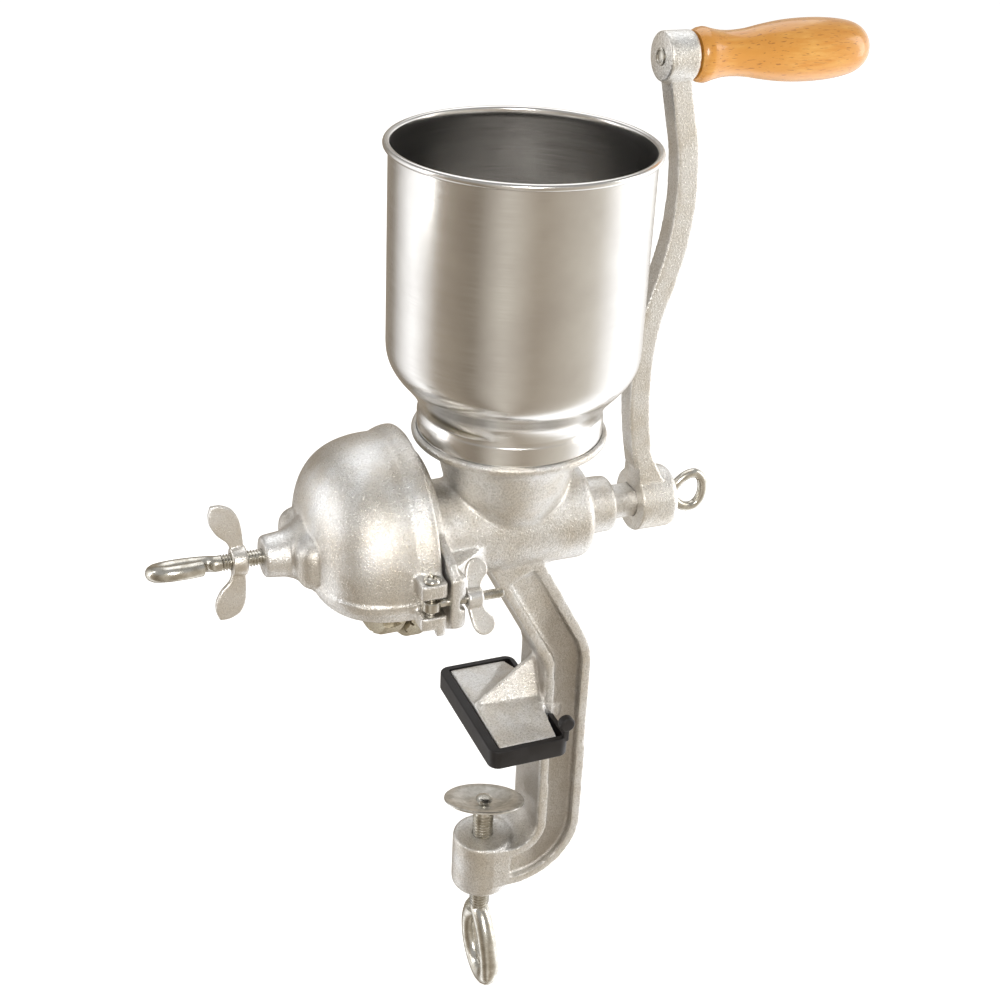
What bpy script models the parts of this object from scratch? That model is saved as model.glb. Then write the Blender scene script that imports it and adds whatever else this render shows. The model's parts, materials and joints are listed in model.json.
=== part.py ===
"""Hand-cranked grain mill with a table clamp.

Metres, +Z up. The part's origin is on the underside of the clamp's upper jaw, above the clamp screw.
The mill itself is drawn from the point where the auger's axis (X) crosses the hopper's axis (Z): the
empty "auger_centre" stands there, and every piece hangs from it or from an empty on its own joint axis.
The crank is on +X, the cover and the adjusting screw on -X, and -Y is the near side.
Sizes are named in millimetres and made metres by the functions that build the shapes.
"""
import math

import bmesh
import bpy
from mathutils import Matrix

MM = 0.001
GAP = 0.3              # running gap between pieces that touch
CASTING_SOLVER = "MANIFOLD"  # the castings join many solids, and EXACT leaves slivers open on them
STEPS = 28             # sides of a large turned shape
SMALL_STEPS = 12       # sides of a small turned shape

# ---- places along the auger's axis
CLAMP_X = -3.3         # the clamp screw's axis, seen from the auger's centre
JAW_Z = -129.5         # underside of the upper jaw's rubber boot
FLANGE_FRONT = -54.6   # front face of the housing's flange
FLANGE_R = 46
BARREL_R = 26
CHAMBER_R = 20         # bore that the worm turns in
SHAFT_R = 9.2
REAR_BOSS_END = 59

# ---- hopper and its cup
HOPPER_TOP = 200
HOPPER_R = 63.1
HOPPER_WALL = 1.2
COLLAR_R = 47
CUP_TOP = 54.5
CUP_SEAT = 50.6
THROAT_BORE = 29

# ---- burrs and cover
FIXED_BURR_R = 51.2
TURNING_BURR_R = 48.2
FIXED_BURR_FACE = -65
TURNING_BURR_FACE = -65.8
DRIVE_PIN_X = -82.6
COVER_RIM = -55
RIM_R = 57.4
COVER_FACE = -129.5
HOOD_EDGE_Z = -12.5    # lower edge of the hood's rim lip
SKIRT_EDGE_Z = -20     # lower edge of the thinner skirt inside it
SCREW_R = 4.2          # adjusting screw's thread

# ---- swing bolts that hold the cover, one on each side
PIVOT_X = -62
PIVOT_Y = 60.6
BOLT_Z = -4.5
BOLT_R = 2.5
NUT_FACE_R = 16.9      # the lug's rear face is an arc about the pivot, so the nut can swing past it
WING_TURN = 30         # degrees that the tightened wing nuts stand away from upright

# ---- crank
HUB_LEFT = 72.65
HUB_RIGHT = 95
HUB_R = 17
GRIP_Z = 236
ARM_WIDTH = 11.4
ARM_DEPTH = 12

# ---- leg and clamp
LEG_WIDTH = 27
LEG_DEPTH = 36
RECESS = 4.5
BOSS_TOP = -209
BOSS_BOTTOM = -245
BOSS_R = 17.3
CLAMP_SCREW_R = 6
DISC_TOP = -184.5
DISC_R = 23.2
DISC_PIVOT_Z = -188.1
DISC_TILT = 18         # degrees that the loose disc leans at rest
DISC_TILT_HEADING = 66.8  # compass angle from +X that it leans towards

parts = None
cutters = None
centre = None


# ---------------------------------------------------------------- scene and materials
def start_scene():
    """Empties the scene, and makes the two collections and the empty that everything hangs from."""
    global parts, cutters, centre
    for old in list(bpy.data.objects):
        bpy.data.objects.remove(old, do_unlink=True)
    parts = bpy.data.collections.new("grain_mill")
    cutters = bpy.data.collections.new("cutters")
    bpy.context.scene.collection.children.link(parts)
    bpy.context.scene.collection.children.link(cutters)
    centre = axis_empty("auger_centre", (0, 0, 0), None)
    centre.location = (-CLAMP_X * MM, 0, -JAW_Z * MM)


def axis_empty(name, at, parent):
    empty = bpy.data.objects.new(name, None)
    empty.empty_display_size = 0.01
    empty.location = [value * MM for value in at]
    empty.parent = parent
    parts.objects.link(empty)
    return empty


def finish(name, colour, roughness, metallic):
    material = bpy.data.materials.new(name)
    material.use_nodes = True
    shader = material.node_tree.nodes["Principled BSDF"]
    shader.inputs["Base Color"].default_value = (*colour, 1)
    shader.inputs["Roughness"].default_value = roughness
    shader.inputs["Metallic"].default_value = metallic
    return material


def place(obj, material, parent=None):
    """Puts a finished object in the parts collection, with its material and its parent empty."""
    if obj.name in cutters.objects:
        cutters.objects.unlink(obj)
    parts.objects.link(obj)
    obj.hide_render = False
    obj.display_type = "TEXTURED"
    obj.data.materials.clear()
    obj.data.materials.append(material)
    obj.parent = parent or centre
    if parent:
        obj.location = obj.location - parent.location
    return obj


# ---------------------------------------------------------------- shapes, all in millimetres
def shape(name, mesh, at=(0, 0, 0), turn=(0, 0, 0)):
    """An object that starts as a hidden cutter; place() makes it a part."""
    obj = bpy.data.objects.new(name, mesh)
    obj.location = [value * MM for value in at]
    obj.rotation_euler = [math.radians(value) for value in turn]
    obj.hide_render = True
    obj.display_type = "WIRE"
    obj.parent = centre
    cutters.objects.link(obj)
    return obj


def turned(name, profile, axis="Z", at=(0, 0, 0), steps=STEPS, ring=False):
    """Solid of revolution. profile holds (radius, height) from the top down its outer side."""
    mesh = bpy.data.meshes.new(name)
    edges = [(i, i + 1) for i in range(len(profile) - 1)]
    if ring:
        edges.append((len(profile) - 1, 0))
    mesh.from_pydata([(r * MM, 0, h * MM) for r, h in profile], edges, [])
    turns = {"Z": (0, 0, 0), "X": (0, 90, 0), "Y": (-90, 0, 0)}
    obj = shape(name, mesh, at, turns[axis])
    screw = obj.modifiers.new("turn", "SCREW")
    screw.steps = steps
    screw.render_steps = steps
    screw.use_merge_vertices = True
    screw.merge_threshold = 0.00001
    return obj


def rod(name, radius, start, end, axis="X", at=(0, 0, 0), steps=SMALL_STEPS):
    """Plain round bar from start to end along an axis."""
    return turned(name, [(0, end), (radius, end), (radius, start), (0, start)], axis, at, steps)


def block(name, low, high, bevel=0.0, segments=2):
    mesh = bpy.data.meshes.new(name)
    bm = bmesh.new()
    bmesh.ops.create_cube(bm, size=1)
    size = [(b - a) * MM for a, b in zip(low, high)]
    bmesh.ops.scale(bm, vec=size, verts=bm.verts)
    bm.to_mesh(mesh)
    bm.free()
    obj = shape(name, mesh, [(a + b) / 2 for a, b in zip(low, high)])
    if bevel:
        rounding = obj.modifiers.new("rounding", "BEVEL")
        rounding.width = bevel * MM
        rounding.segments = segments
    return obj


def hull(name, points):
    """Convex solid around a few corner points."""
    mesh = bpy.data.meshes.new(name)
    bm = bmesh.new()
    for point in points:
        bm.verts.new([value * MM for value in point])
    result = bmesh.ops.convex_hull(bm, input=bm.verts)
    loose = [v for v in result["geom_interior"] if isinstance(v, bmesh.types.BMVert)]
    bmesh.ops.delete(bm, geom=loose, context="VERTS")
    bmesh.ops.recalc_face_normals(bm, faces=bm.faces)
    bm.to_mesh(mesh)
    bm.free()
    return shape(name, mesh)


def from_curve(name, curve, turn=(0, 0, 0), at=(0, 0, 0)):
    """Turns a curve into one closed mesh object, with its caps welded on."""
    temp = bpy.data.objects.new(name + "_curve", curve)
    temp.rotation_euler = [math.radians(value) for value in turn]
    temp.location = [value * MM for value in at]
    cutters.objects.link(temp)
    bpy.context.view_layer.update()
    graph = bpy.context.evaluated_depsgraph_get()
    mesh = bpy.data.meshes.new_from_object(temp.evaluated_get(graph))
    matrix = temp.matrix_world.copy()
    bpy.data.objects.remove(temp, do_unlink=True)
    bm = bmesh.new()
    bm.from_mesh(mesh)
    bmesh.ops.remove_doubles(bm, verts=bm.verts, dist=0.00001)
    bmesh.ops.recalc_face_normals(bm, faces=bm.faces)
    bm.to_mesh(mesh)
    bm.free()
    obj = shape(name, mesh)
    obj.matrix_basis = matrix
    return obj


def plate(name, outline, thickness, plane="XZ", at=(0, 0, 0)):
    """Flat outline in the XZ or XY plane with a thickness across it, centred on the plane."""
    curve = bpy.data.curves.new(name, "CURVE")
    curve.dimensions = "2D"
    curve.fill_mode = "BOTH"
    curve.extrude = thickness / 2 * MM
    line = curve.splines.new("POLY")
    line.points.add(len(outline) - 1)
    line.use_cyclic_u = True
    for point, (across, up) in zip(line.points, outline):
        point.co = (across * MM, up * MM, 0, 1)
    turn = (90, 0, 0) if plane == "XZ" else (0, 0, 0)
    return from_curve(name, curve, turn, at)


def tube(name, points, radius):
    """Round wire through points, which may each have a radius factor as a fourth value."""
    curve = bpy.data.curves.new(name, "CURVE")
    curve.dimensions = "3D"
    curve.bevel_depth = radius * MM
    curve.bevel_resolution = 2
    curve.use_fill_caps = True
    line = curve.splines.new("POLY")
    line.points.add(len(points) - 1)
    for point, value in zip(line.points, points):
        point.co = (value[0] * MM, value[1] * MM, value[2] * MM, 1)
        point.radius = value[3] if len(value) > 3 else 1
    return from_curve(name, curve)


def boolean(target, tool, operation, solver="EXACT"):
    step = target.modifiers.new(tool.name, "BOOLEAN")
    step.operation = operation
    step.solver = solver
    step.object = tool
    return target


def join(target, *tools, solver="EXACT"):
    for tool in tools:
        boolean(target, tool, "UNION", solver)
    return target


def cut(target, *tools, solver="EXACT"):
    for tool in tools:
        boolean(target, tool, "DIFFERENCE", solver)
    return target


def spin_about_x(obj, degrees, at):
    """Turns a shape drawn on the auger's axis, with its boolean tools, and moves it to at."""
    move = Matrix.Translation([value * MM for value in at])
    spin = Matrix.Rotation(math.radians(degrees), 4, "X")
    for piece in [obj, *(step.object for step in obj.modifiers if step.type == "BOOLEAN")]:
        piece.matrix_basis = move @ spin @ piece.matrix_basis


# ---------------------------------------------------------------- outlines
def arc(cx, cy, radius, start, end, count):
    """Points on an arc about (cx, cy), angles in degrees."""
    angles = [math.radians(start + (end - start) * i / count) for i in range(count + 1)]
    return [(cx + radius * math.cos(a), cy + radius * math.sin(a)) for a in angles]


def smooth(points, per_span):
    """More points on a Catmull-Rom curve through the given ones."""
    ends = [points[0], *points, points[-1]]
    result = []
    for a, b, c, d in zip(ends, ends[1:], ends[2:], ends[3:]):
        for i in range(per_span):
            t = i / per_span
            weights = (-t + 2 * t * t - t ** 3, 2 - 5 * t * t + 3 * t ** 3,
                       t + 4 * t * t - 3 * t ** 3, -t * t + t ** 3)
            result.append(tuple(sum(w * p[k] for w, p in zip(weights, (a, b, c, d))) / 2
                                for k in range(2)))
    return result + [points[-1]]


def ribbon(line, left, right):
    """Outline that follows a centre line, left and right millimetres to its two sides."""
    sides = ([], [])
    for i, point in enumerate(line):
        before = line[max(i - 1, 0)]
        after = line[min(i + 1, len(line) - 1)]
        dx, dy = after[0] - before[0], after[1] - before[1]
        length = math.hypot(dx, dy)
        normal = (-dy / length, dx / length)
        sides[0].append((point[0] + normal[0] * left, point[1] + normal[1] * left))
        sides[1].append((point[0] - normal[0] * right, point[1] - normal[1] * right))
    return sides[0] + sides[1][::-1]


def eye_path(shank, neck, tip, half_width, rod_radius):
    """Route of a rod bent into an eye: along the axis from shank, round the eye, back beside the neck."""
    path = [(shank, 0), (neck, 0)]
    count = 18
    for i in range(1, count):
        t = 2 * math.pi * i / count
        along = neck + (tip - neck) * (1 - math.cos(t)) / 2
        side = half_width * math.sin(t) * (0.62 + 0.38 * math.sin(t / 2) ** 2) * 1.08
        if t > math.pi and abs(side) < rod_radius + 0.5 and i > count // 2 + 3:
            break
        path.append((along, side))
    return path


# ---------------------------------------------------------------- the casting
def leg_line():
    """Centre line of the C-shaped leg, from inside the barrel down to the clamp boss."""
    bend = arc(5.4, -90.3, 30, 28.5, 0, 5)
    foot = arc(9.4, -197, 27.5, 0, -90, 7)
    return [(-1.4, -15), *bend, *foot, (CLAMP_X, -224.5)]


def lug_outline(side):
    """Plan of the slotted lug behind the flange; its rear is an arc about the swing bolt's pivot."""
    low = math.degrees(math.asin((PIVOT_Y - 49) / NUT_FACE_R))
    high = -math.degrees(math.asin((66 - PIVOT_Y) / NUT_FACE_R))
    rear = arc(PIVOT_X, -PIVOT_Y, NUT_FACE_R, low, high, 7)
    outline = [(-53.6, -49), *rear, (-52, -66), (-53.6, -64.5)]
    return [(x, -side * y) for x, y in outline]


def leg_section():
    line = leg_line()
    leg = plate("leg", ribbon(line, LEG_WIDTH / 2, LEG_WIDTH / 2), LEG_DEPTH)
    inner = [(4.5, -27), *line[1:-1], (8, -224.5)]
    for side in (-1, 1):
        face = side * (LEG_DEPTH / 2)
        recess = plate(f"leg_recess_{side}", ribbon(inner, 7.6, 7.6), 2 * RECESS, at=(0, face, 0))
        cut(leg, recess, solver=CASTING_SOLVER)
    return leg


def upper_jaw():
    """Jaw plate inside the rubber boot, with its sloping roof and the gusset up to the leg."""
    base = block("jaw_base", (-12.7, -38.7, -124.2), (21.5, 38.7, -118.6), 1.5)
    arm = block("jaw_arm", (15, -15, -123.6), (33, 15, -116.4))
    eaves = [(x, y, z) for x, y in ((-12.2, -38.2), (-12.2, 38.2), (21, -38.2), (21, 38.2))
             for z in (-122, -118)]
    roof = hull("jaw_roof", [*eaves, (-12.2, 0, -116), (21, -12, -109), (21, 12, -109)])
    gusset = hull("jaw_gusset", [(-12.2, 0, -115.4), (-12.2, -2, -118), (-12.2, 2, -118),
                                 (29, -2, -84), (29, 2, -84), (29, -15, -108), (29, 15, -108),
                                 (29, 0, -120)])
    return [base, arm, roof, gusset]


def housing_outside():
    """Flange, cone, barrel and rear boss, turned about the auger's axis."""
    return turned("barrel", [
        (0, REAR_BOSS_END), (13.6, REAR_BOSS_END), (15, 57.6), (15.2, 45.5), (17.5, 43.4),
        (21.5, 42.4), (24.6, 40), (BARREL_R, 36), (BARREL_R, -38), (27.4, -43.5), (31.5, -47),
        (FLANGE_R - 0.6, -48.6), (FLANGE_R, -49.4), (FLANGE_R, FLANGE_FRONT), (0, FLANGE_FRONT)],
        "X")


def flange_plate():
    """Plate across the flange that carries the two lugs, and the webs that brace it to the barrel."""
    corners = [(66, 9), (60, 15.5), (22, 27.5), (66, -17), (38, -34)]
    plate_points = [(x, side * y, z) for x in (-53.9, -49.2) for side in (-1, 1) for y, z in corners]
    pieces = [hull("flange_plate", plate_points)]
    for side in (-1, 1):
        web = [(-49.8, 46.4, 1), (-49.8, 46.4, -8), (-24, 27, 1), (-24, 27, -9), (-16, 22, 1),
               (-16, 22, -11), (-49.8, 20, 1), (-49.8, 20, -12)]
        pieces.append(hull(f"web_{side}", [(x, side * y, z) for x, y, z in web]))
    return pieces


def cup_outside():
    return turned("throat", [
        (0, CUP_TOP), (48.9, CUP_TOP), (49.6, 53.6), (49.6, 51.6), (48.8, 50.4), (47.4, 49.6),
        (44.6, 47.4), (40, 45), (37.2, 42.5), (35.6, 38), (33.4, 30), (31.8, 24), (28.4, 14),
        (24.4, 4), (0, 4)])


def body_casting(iron):
    body = housing_outside()
    boss = turned("clamp_boss", [
        (0, BOSS_TOP), (BOSS_R - 2.5, BOSS_TOP), (BOSS_R - 0.6, BOSS_TOP - 1), (BOSS_R, BOSS_TOP - 3),
        (BOSS_R, BOSS_BOTTOM + 3), (BOSS_R - 0.8, BOSS_BOTTOM + 0.8), (BOSS_R - 3, BOSS_BOTTOM),
        (0, BOSS_BOTTOM)], at=(CLAMP_X, 0, 0), steps=32)
    lugs = []
    slots = []
    for side in (-1, 1):
        lugs.append(plate(f"lug_{side}", lug_outline(side), 28, "XY", (0, 0, -4)))
        slot = block(f"lug_slot_{side}", (-56, -72, BOLT_Z - 3.4), (-40, -56.8, BOLT_Z + 3.4))
        slot.location.y *= -side
        slots.append(slot)
    web = hull("leg_web", [(-14, -14, -20), (-14, 14, -20), (20, -14, -20), (20, 14, -20),
                           (-9, -12, -27.5), (-9, 12, -27.5), (22, -12, -27.5), (22, 12, -27.5)])
    join(body, cup_outside(), leg_section(), web, boss, *upper_jaw(), *flange_plate(), *lugs,
         solver=CASTING_SOLVER)

    chamber = rod("chamber", CHAMBER_R, FLANGE_FRONT - 2, 37, steps=32)
    shaft_bore = rod("shaft_bore", SHAFT_R + GAP, 30, 70, steps=32)
    cup = turned("cup_bore", [
        (0, 60), (COLLAR_R + GAP, 60), (COLLAR_R + GAP, CUP_SEAT), (THROAT_BORE + 4, CUP_SEAT),
        (THROAT_BORE, 34), (THROAT_BORE - 2, 24), (CHAMBER_R - 3, 15), (CHAMBER_R - 3, 5), (0, 5)])
    clamp_bore = rod("clamp_bore", CLAMP_SCREW_R + GAP, -260, -190, "Z", (CLAMP_X, 0, 0), 24)
    cut(body, chamber, shaft_bore, cup, clamp_bore, *slots, solver=CASTING_SOLVER)
    for i, (y, z) in enumerate(burr_screw_places()):
        bore = rod(f"burr_screw_bore_{i}", 2.3, -57, -49, at=(0, y, z), steps=12)
        cut(body, bore, solver=CASTING_SOLVER)
    body.name = "body_casting"
    return place(body, iron)


def jaw_boot(rubber):
    """Rubber boot around the jaw plate, notched where the plate runs into the leg."""
    boot = block("jaw_boot", (-18.3, -42.5, JAW_Z), (27.6, 42.5, -118), 3.0, 3)
    cut(boot,
        block("boot_pocket", (-13, -39, -124.5), (24.6, 39, -110)),
        block("leg_notch", (21.5, -18.6, -132), (30, 18.6, -110)))
    stem = block("knob_stem", (23.4, -42, -120), (27.4, -39.4, -109))
    knob = turned("boot_knob", [(0, -37.6), (3, -37.6), (4, -38.6), (4, -42), (3, -43), (0, -43)],
                  "Y", (25.4, 0, -109.4))
    join(boot, stem, knob)
    return place(boot, rubber)


# ---------------------------------------------------------------- hopper
def hopper(steel):
    """Spun sheet: rolled rim, straight wall, rounded shoulder, waisted neck and a collar for the cup."""
    outside = [(65.2, HOPPER_TOP), (65.8, 199), (65.4, 197.8), (63.9, 197), (HOPPER_R, 195.5),
               (HOPPER_R, 101), (62.6, 95.5), (60.8, 89.5), (57.6, 84.5), (53.8, 80.2), (50, 75),
               (47.4, 70), (46.2, 66.4), (46.2, 64.8), (COLLAR_R, 63), (COLLAR_R, CUP_SEAT + 0.4)]
    inside = [(r - HOPPER_WALL, h + (0.4 if h < 100 else 0)) for r, h in outside[:3:-1]]
    inside[0] = (COLLAR_R - HOPPER_WALL, CUP_SEAT + 0.4)
    vessel = turned("hopper", outside + inside + [(62.6, 198.6), (63.6, HOPPER_TOP)], ring=True)
    return place(vessel, steel)


# ---------------------------------------------------------------- burrs
def burr_screw_places():
    return [(36 * math.cos(math.radians(a)), 36 * math.sin(math.radians(a))) for a in (90, 210, 330)]


def grooves(name, face, inner, outer, count):
    """Radial milling grooves in a burr's face, as one cutter."""
    mesh = bpy.data.meshes.new(name)
    bm = bmesh.new()
    for i in range(count):
        turn = Matrix.Rotation(2 * math.pi * i / count, 4, "X")
        spot = Matrix.Translation((face * MM, (inner + outer) / 2 * MM, 0))
        size = Matrix.Diagonal((2.4 * MM, (outer - inner) * MM, 3.2 * MM, 1))
        bmesh.ops.create_cube(bm, size=1, matrix=turn @ spot @ size)
    bm.to_mesh(mesh)
    bm.free()
    return shape(name, mesh)


def stationary_burr(iron):
    edge = FIXED_BURR_R
    burr = turned("stationary_burr", [
        (edge - 2, COVER_RIM), (edge, -57), (edge, -62.6), (edge - 2.4, FIXED_BURR_FACE),
        (22, FIXED_BURR_FACE), (22, COVER_RIM)], "X", ring=True)
    cut(burr, grooves("fixed_grooves", FIXED_BURR_FACE, 37, 54, 10))
    for i, (y, z) in enumerate(burr_screw_places()):
        sink = turned(f"countersink_{i}", [(0, -54), (2.3, -54), (2.3, -61.6), (4.1, -63.4),
                                           (4.1, -66), (0, -66)], "X", (0, y, z), 12)
        cut(burr, sink)
    return place(burr, iron)


def burr_screws(steel):
    for i, (y, z) in enumerate(burr_screw_places()):
        screw = turned(f"burr_screw_{i + 1}", [(0, -50), (2, -50), (2, -61.7), (3.8, -63.5),
                                               (3.8, -64.4), (0, -64.4)], "X", (0, y, z), 12)
        place(screw, steel)


def rotating_burr(iron, rotor):
    edge = TURNING_BURR_R
    burr = turned("rotating_burr", [
        (edge - 2.4, TURNING_BURR_FACE), (edge, -68.2), (edge, -75.6), (edge - 3, -79), (20, -79.4),
        (16.5, -80.2), (16, -86), (SHAFT_R + GAP, -86), (SHAFT_R + GAP, TURNING_BURR_FACE)], "X",
        ring=True)
    cut(burr, grooves("turning_grooves", TURNING_BURR_FACE, 36, 54, 10),
        rod("pin_hole_in_burr", 2.3, -30, 30, "Y", (DRIVE_PIN_X, 0, 0), 12))
    return place(burr, iron, rotor)


# ---------------------------------------------------------------- worm and its shaft
def worm_flight():
    """Helical flight: a rectangle swept round the shaft as it moves along it."""
    pitch, turns, start = 27.0, 3.1, -53.0
    mesh = bpy.data.meshes.new("flight")
    bm = bmesh.new()
    corners = [(start, 7.5), (start + 4.5, 7.5), (start + 3.2, 19), (start + 1.2, 19)]
    face = bm.faces.new([bm.verts.new((x * MM, 0, z * MM)) for x, z in corners])
    steps = int(turns * 12)
    bmesh.ops.spin(bm, geom=[face, *face.verts, *face.edges], cent=(0, 0, 0), axis=(1, 0, 0),
                   dvec=(pitch * turns / steps * MM, 0, 0), angle=2 * math.pi * turns,
                   steps=steps, use_duplicate=False)
    bmesh.ops.remove_doubles(bm, verts=bm.verts, dist=0.000001)
    bmesh.ops.recalc_face_normals(bm, faces=bm.faces)
    bm.to_mesh(mesh)
    bm.free()
    return shape("flight", mesh)


def flats(name, half_height):
    """Two blocks that cut flats on the shaft between the rear boss and the crank."""
    return [block(f"{name}_{side}", (60.5, -14, min(side * half_height, side * 16)),
                  (92, 14, max(side * half_height, side * 16))) for side in (-1, 1)]


def worm_auger(iron, rotor):
    worm = turned("worm_auger", [
        (0, 90), (SHAFT_R - 0.8, 90), (SHAFT_R, 89), (SHAFT_R, 36), (10.5, 35), (10.5, -54),
        (SHAFT_R, -56), (SHAFT_R, -88.2), (0, -88.2)], "X", steps=24)
    join(worm, worm_flight())
    cut(worm, *flats("shaft_flat", 7.6),
        rod("pin_hole_in_shaft", 2.3, -30, 30, "Y", (DRIVE_PIN_X, 0, 0), 12),
        rod("eye_screw_hole", 2.95, 78, 96, steps=16),
        rod("ball_seat", 4.6, -90, -86.2, steps=16))
    return place(worm, iron, rotor)


# ---------------------------------------------------------------- cover
def dome(name, shrink, rim):
    """The hood's outside as a full turned solid; shrink makes the smaller skirt inside its lip."""
    profile = [(56, -64), (56, -70), (55.2, -78), (53, -86), (49.4, -93), (44.2, -99),
               (37.4, -103.6), (28.6, -106.8)]
    curve = [(r - shrink, h + (shrink if h < -70 else 0)) for r, h in profile]
    return turned(name, [(0, rim), (curve[0][0], rim), *curve, (0, -109 + shrink)], "X")


def slab(obj, low, high):
    """Keeps only what lies between two heights."""
    layer = block(obj.name + "_slab", (-140, -90, low), (-40, 90, high))
    return boolean(obj, layer, "INTERSECT", CASTING_SOLVER)


def lug_ear(name, side, low, high, tip=0):
    """One of the two ears that hold the swing bolt's pivot screw, with rounded outer corners."""
    outline = [(-68.4, -46), (-55, -46), *arc(-57, -63.6, 2, 0, -90, 3),
               *arc(-66.4, -63.6, 2, -90, -180, 3)]
    ear = plate(name, [(x, -side * y) for x, y in outline], high - low, "XY", (0, 0, (low + high) / 2))
    if tip:
        low_end = [(x, side * y) for x in (-60.5, -56.4) for y in (61.5, 65.3)]
        point = hull(name + "_tip", [(x, y, low + depth) for x, y in low_end for depth in (2, -tip)])
        join(ear, point, solver=CASTING_SOLVER)
    return ear


def front_cover(iron):
    cover = slab(dome("front_cover", 0, COVER_RIM), HOOD_EDGE_Z + 0.2, 80)
    rim = turned("rim_band", [(0, -55.1), (RIM_R - 0.3, -55.1), (RIM_R, -55.6), (RIM_R, -57.6),
                              (RIM_R - 0.7, -58.4), (55.2, -60), (0, -60)], "X")
    slab(rim, HOOD_EDGE_Z + 0.1, 80)
    lip = slab(dome("lip", -0.9, -55.6), HOOD_EDGE_Z, HOOD_EDGE_Z + 5.4)
    skirt = slab(dome("skirt", 2.4, -56.2), SKIRT_EDGE_Z, 0)
    yoke = block("yoke", (-116.5, -26, HOOD_EDGE_Z + 0.3), (-84, 26, 15), 9.5, 3)
    boss = turned("screw_boss", [(0, -90), (24, -90), (21, -104), (16.5, -110.5), (13.2, -114.5),
                                 (11.4, -119), (10.6, -126), (10.2, -128.6), (8.8, COVER_FACE),
                                 (0, COVER_FACE)], "X", steps=28)
    ears = []
    for side in (-1, 1):
        ears.append(lug_ear(f"upper_ear_{side}", side, 0.5, 8.6))
        ears.append(lug_ear(f"lower_ear_{side}", side, -16.8, -9.6, 4))
    join(cover, rim, lip, skirt, yoke, boss, *ears, solver=CASTING_SOLVER)
    cavity = turned("cavity", [(0, -50), (51.7, -50), (51.7, -72), (50, -81), (46.4, -89),
                               (40.4, -96), (31, -101), (22, -103), (0, -104)], "X")
    bores = [rod("screw_bore", SCREW_R + GAP, -135, -95, steps=24)]
    for side in (-1, 1):
        bores.append(rod(f"pivot_bore_{side}", 2.5, -30, 20, "Z", (PIVOT_X, side * PIVOT_Y, 0), 16))
    cut(cover, cavity, *bores, solver=CASTING_SOLVER)
    return place(cover, iron)


# ---------------------------------------------------------------- adjusting screw
def thrust_ball(steel, slide):
    mesh = bpy.data.meshes.new("thrust_ball")
    bm = bmesh.new()
    bmesh.ops.create_uvsphere(bm, u_segments=12, v_segments=8, radius=4 * MM)
    bm.to_mesh(mesh)
    bm.free()
    mesh.shade_smooth()
    return place(shape("thrust_ball", mesh, (-90.6, 0, 0)), steel, slide)


def adjusting_screw(steel, pivot):
    route = eye_path(-94.9, -151, -183, 8.2, 4)
    points = [(x, y, 0, 1.05 if x > -150 else 1) for x, y in route]
    screw = tube("adjusting_screw", points, 4)
    spin_about_x(screw, -20, (0, 0, 0))
    return place(screw, steel, pivot)


def wing_outline():
    """One leaf-shaped wing of the lock nut, (x, radius), its point leaning away from the cover."""
    return [(-144.8, 4), (-138.2, 4), (-138.4, 14), (-139.4, 21.5), (-142.5, 27), (-148, 29.6),
            (-153, 29.2), (-154.6, 25), (-154.2, 20), (-151, 14.5), (-146.4, 10)]


def adjusting_lock_nut(steel, pivot):
    nut = turned("adjusting_lock_nut", [(0, -137.4), (7, -137.4), (7.8, -138.4), (7.2, -144.4),
                                        (6.6, -145), (0, -145)], "X", steps=24)
    for side in (-1, 1):
        wing = plate(f"lock_wing_{side}", [(x, side * r) for x, r in wing_outline()], 3.4)
        join(nut, wing)
    cut(nut, rod("lock_nut_bore", SCREW_R + GAP, -150, -130, steps=20))
    spin_about_x(nut, -11, (0, 0, 0))
    return place(nut, steel, pivot)


# ---------------------------------------------------------------- swing bolts
def cover_pivot_screw(name, side, steel):
    screw = turned(name, [(0, 11.4), (3, 11.4), (4.1, 10.2), (4.3, 8.9), (2.2, 8.9), (2.2, -17.6),
                          (0, -17.6)], "Z", (PIVOT_X, side * PIVOT_Y, 0), 16)
    cut(screw,
        block(name + "_cross_a", (PIVOT_X - 2.2, side * PIVOT_Y - 0.5, 10.2),
              (PIVOT_X + 2.2, side * PIVOT_Y + 0.5, 12)),
        block(name + "_cross_b", (PIVOT_X - 0.5, side * PIVOT_Y - 2.2, 10.2),
              (PIVOT_X + 0.5, side * PIVOT_Y + 2.2, 12)))
    return place(screw, steel)


def swing_bolt(name, side, steel, pivot):
    place_of_eye = (PIVOT_X, side * PIVOT_Y, BOLT_Z)
    bolt = turned(name, [(0, 2.6), (4.1, 2.6), (4.6, 2.1), (4.6, -2.1), (4.1, -2.6), (0, -2.6)],
                  "Z", place_of_eye, 20)
    join(bolt, rod(name + "_shank", BOLT_R, PIVOT_X + 3, -25, at=(0, side * PIVOT_Y, BOLT_Z), steps=12))
    cut(bolt, rod(name + "_eye", 2.5, -10, 10, "Z", place_of_eye, 16))
    return place(bolt, steel, pivot)


def swing_wing(name, up):
    """A wing that leans back along the bolt; its plate holds the bolt's axis."""
    outline = [(-44.2, 2.5), (-37, 2.5), (-36.4, 6), (-34.6, 9), *arc(-37, 13.4, 5.6, -30, 200, 8),
               (-43.2, 9)]
    return plate(name, [(x, up * r) for x, r in outline], 3.0)


def swing_wing_nut(name, side, steel, pivot):
    """Nut drawn on the auger's axis, then turned about it and moved out to its bolt."""
    nut = turned(name, [(0, -36), (3.6, -36), (4.6, -37), (5, -43.6), (4.4, -44.6), (0, -44.6)],
                 "X", steps=20)
    join(nut, swing_wing(name + "_up", 1), swing_wing(name + "_down", -1))
    cut(nut, rod(name + "_bore", BOLT_R + GAP, -50, -30, steps=14))
    spin_about_x(nut, side * WING_TURN, (0, side * PIVOT_Y, BOLT_Z))
    return place(nut, steel, pivot)


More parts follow.
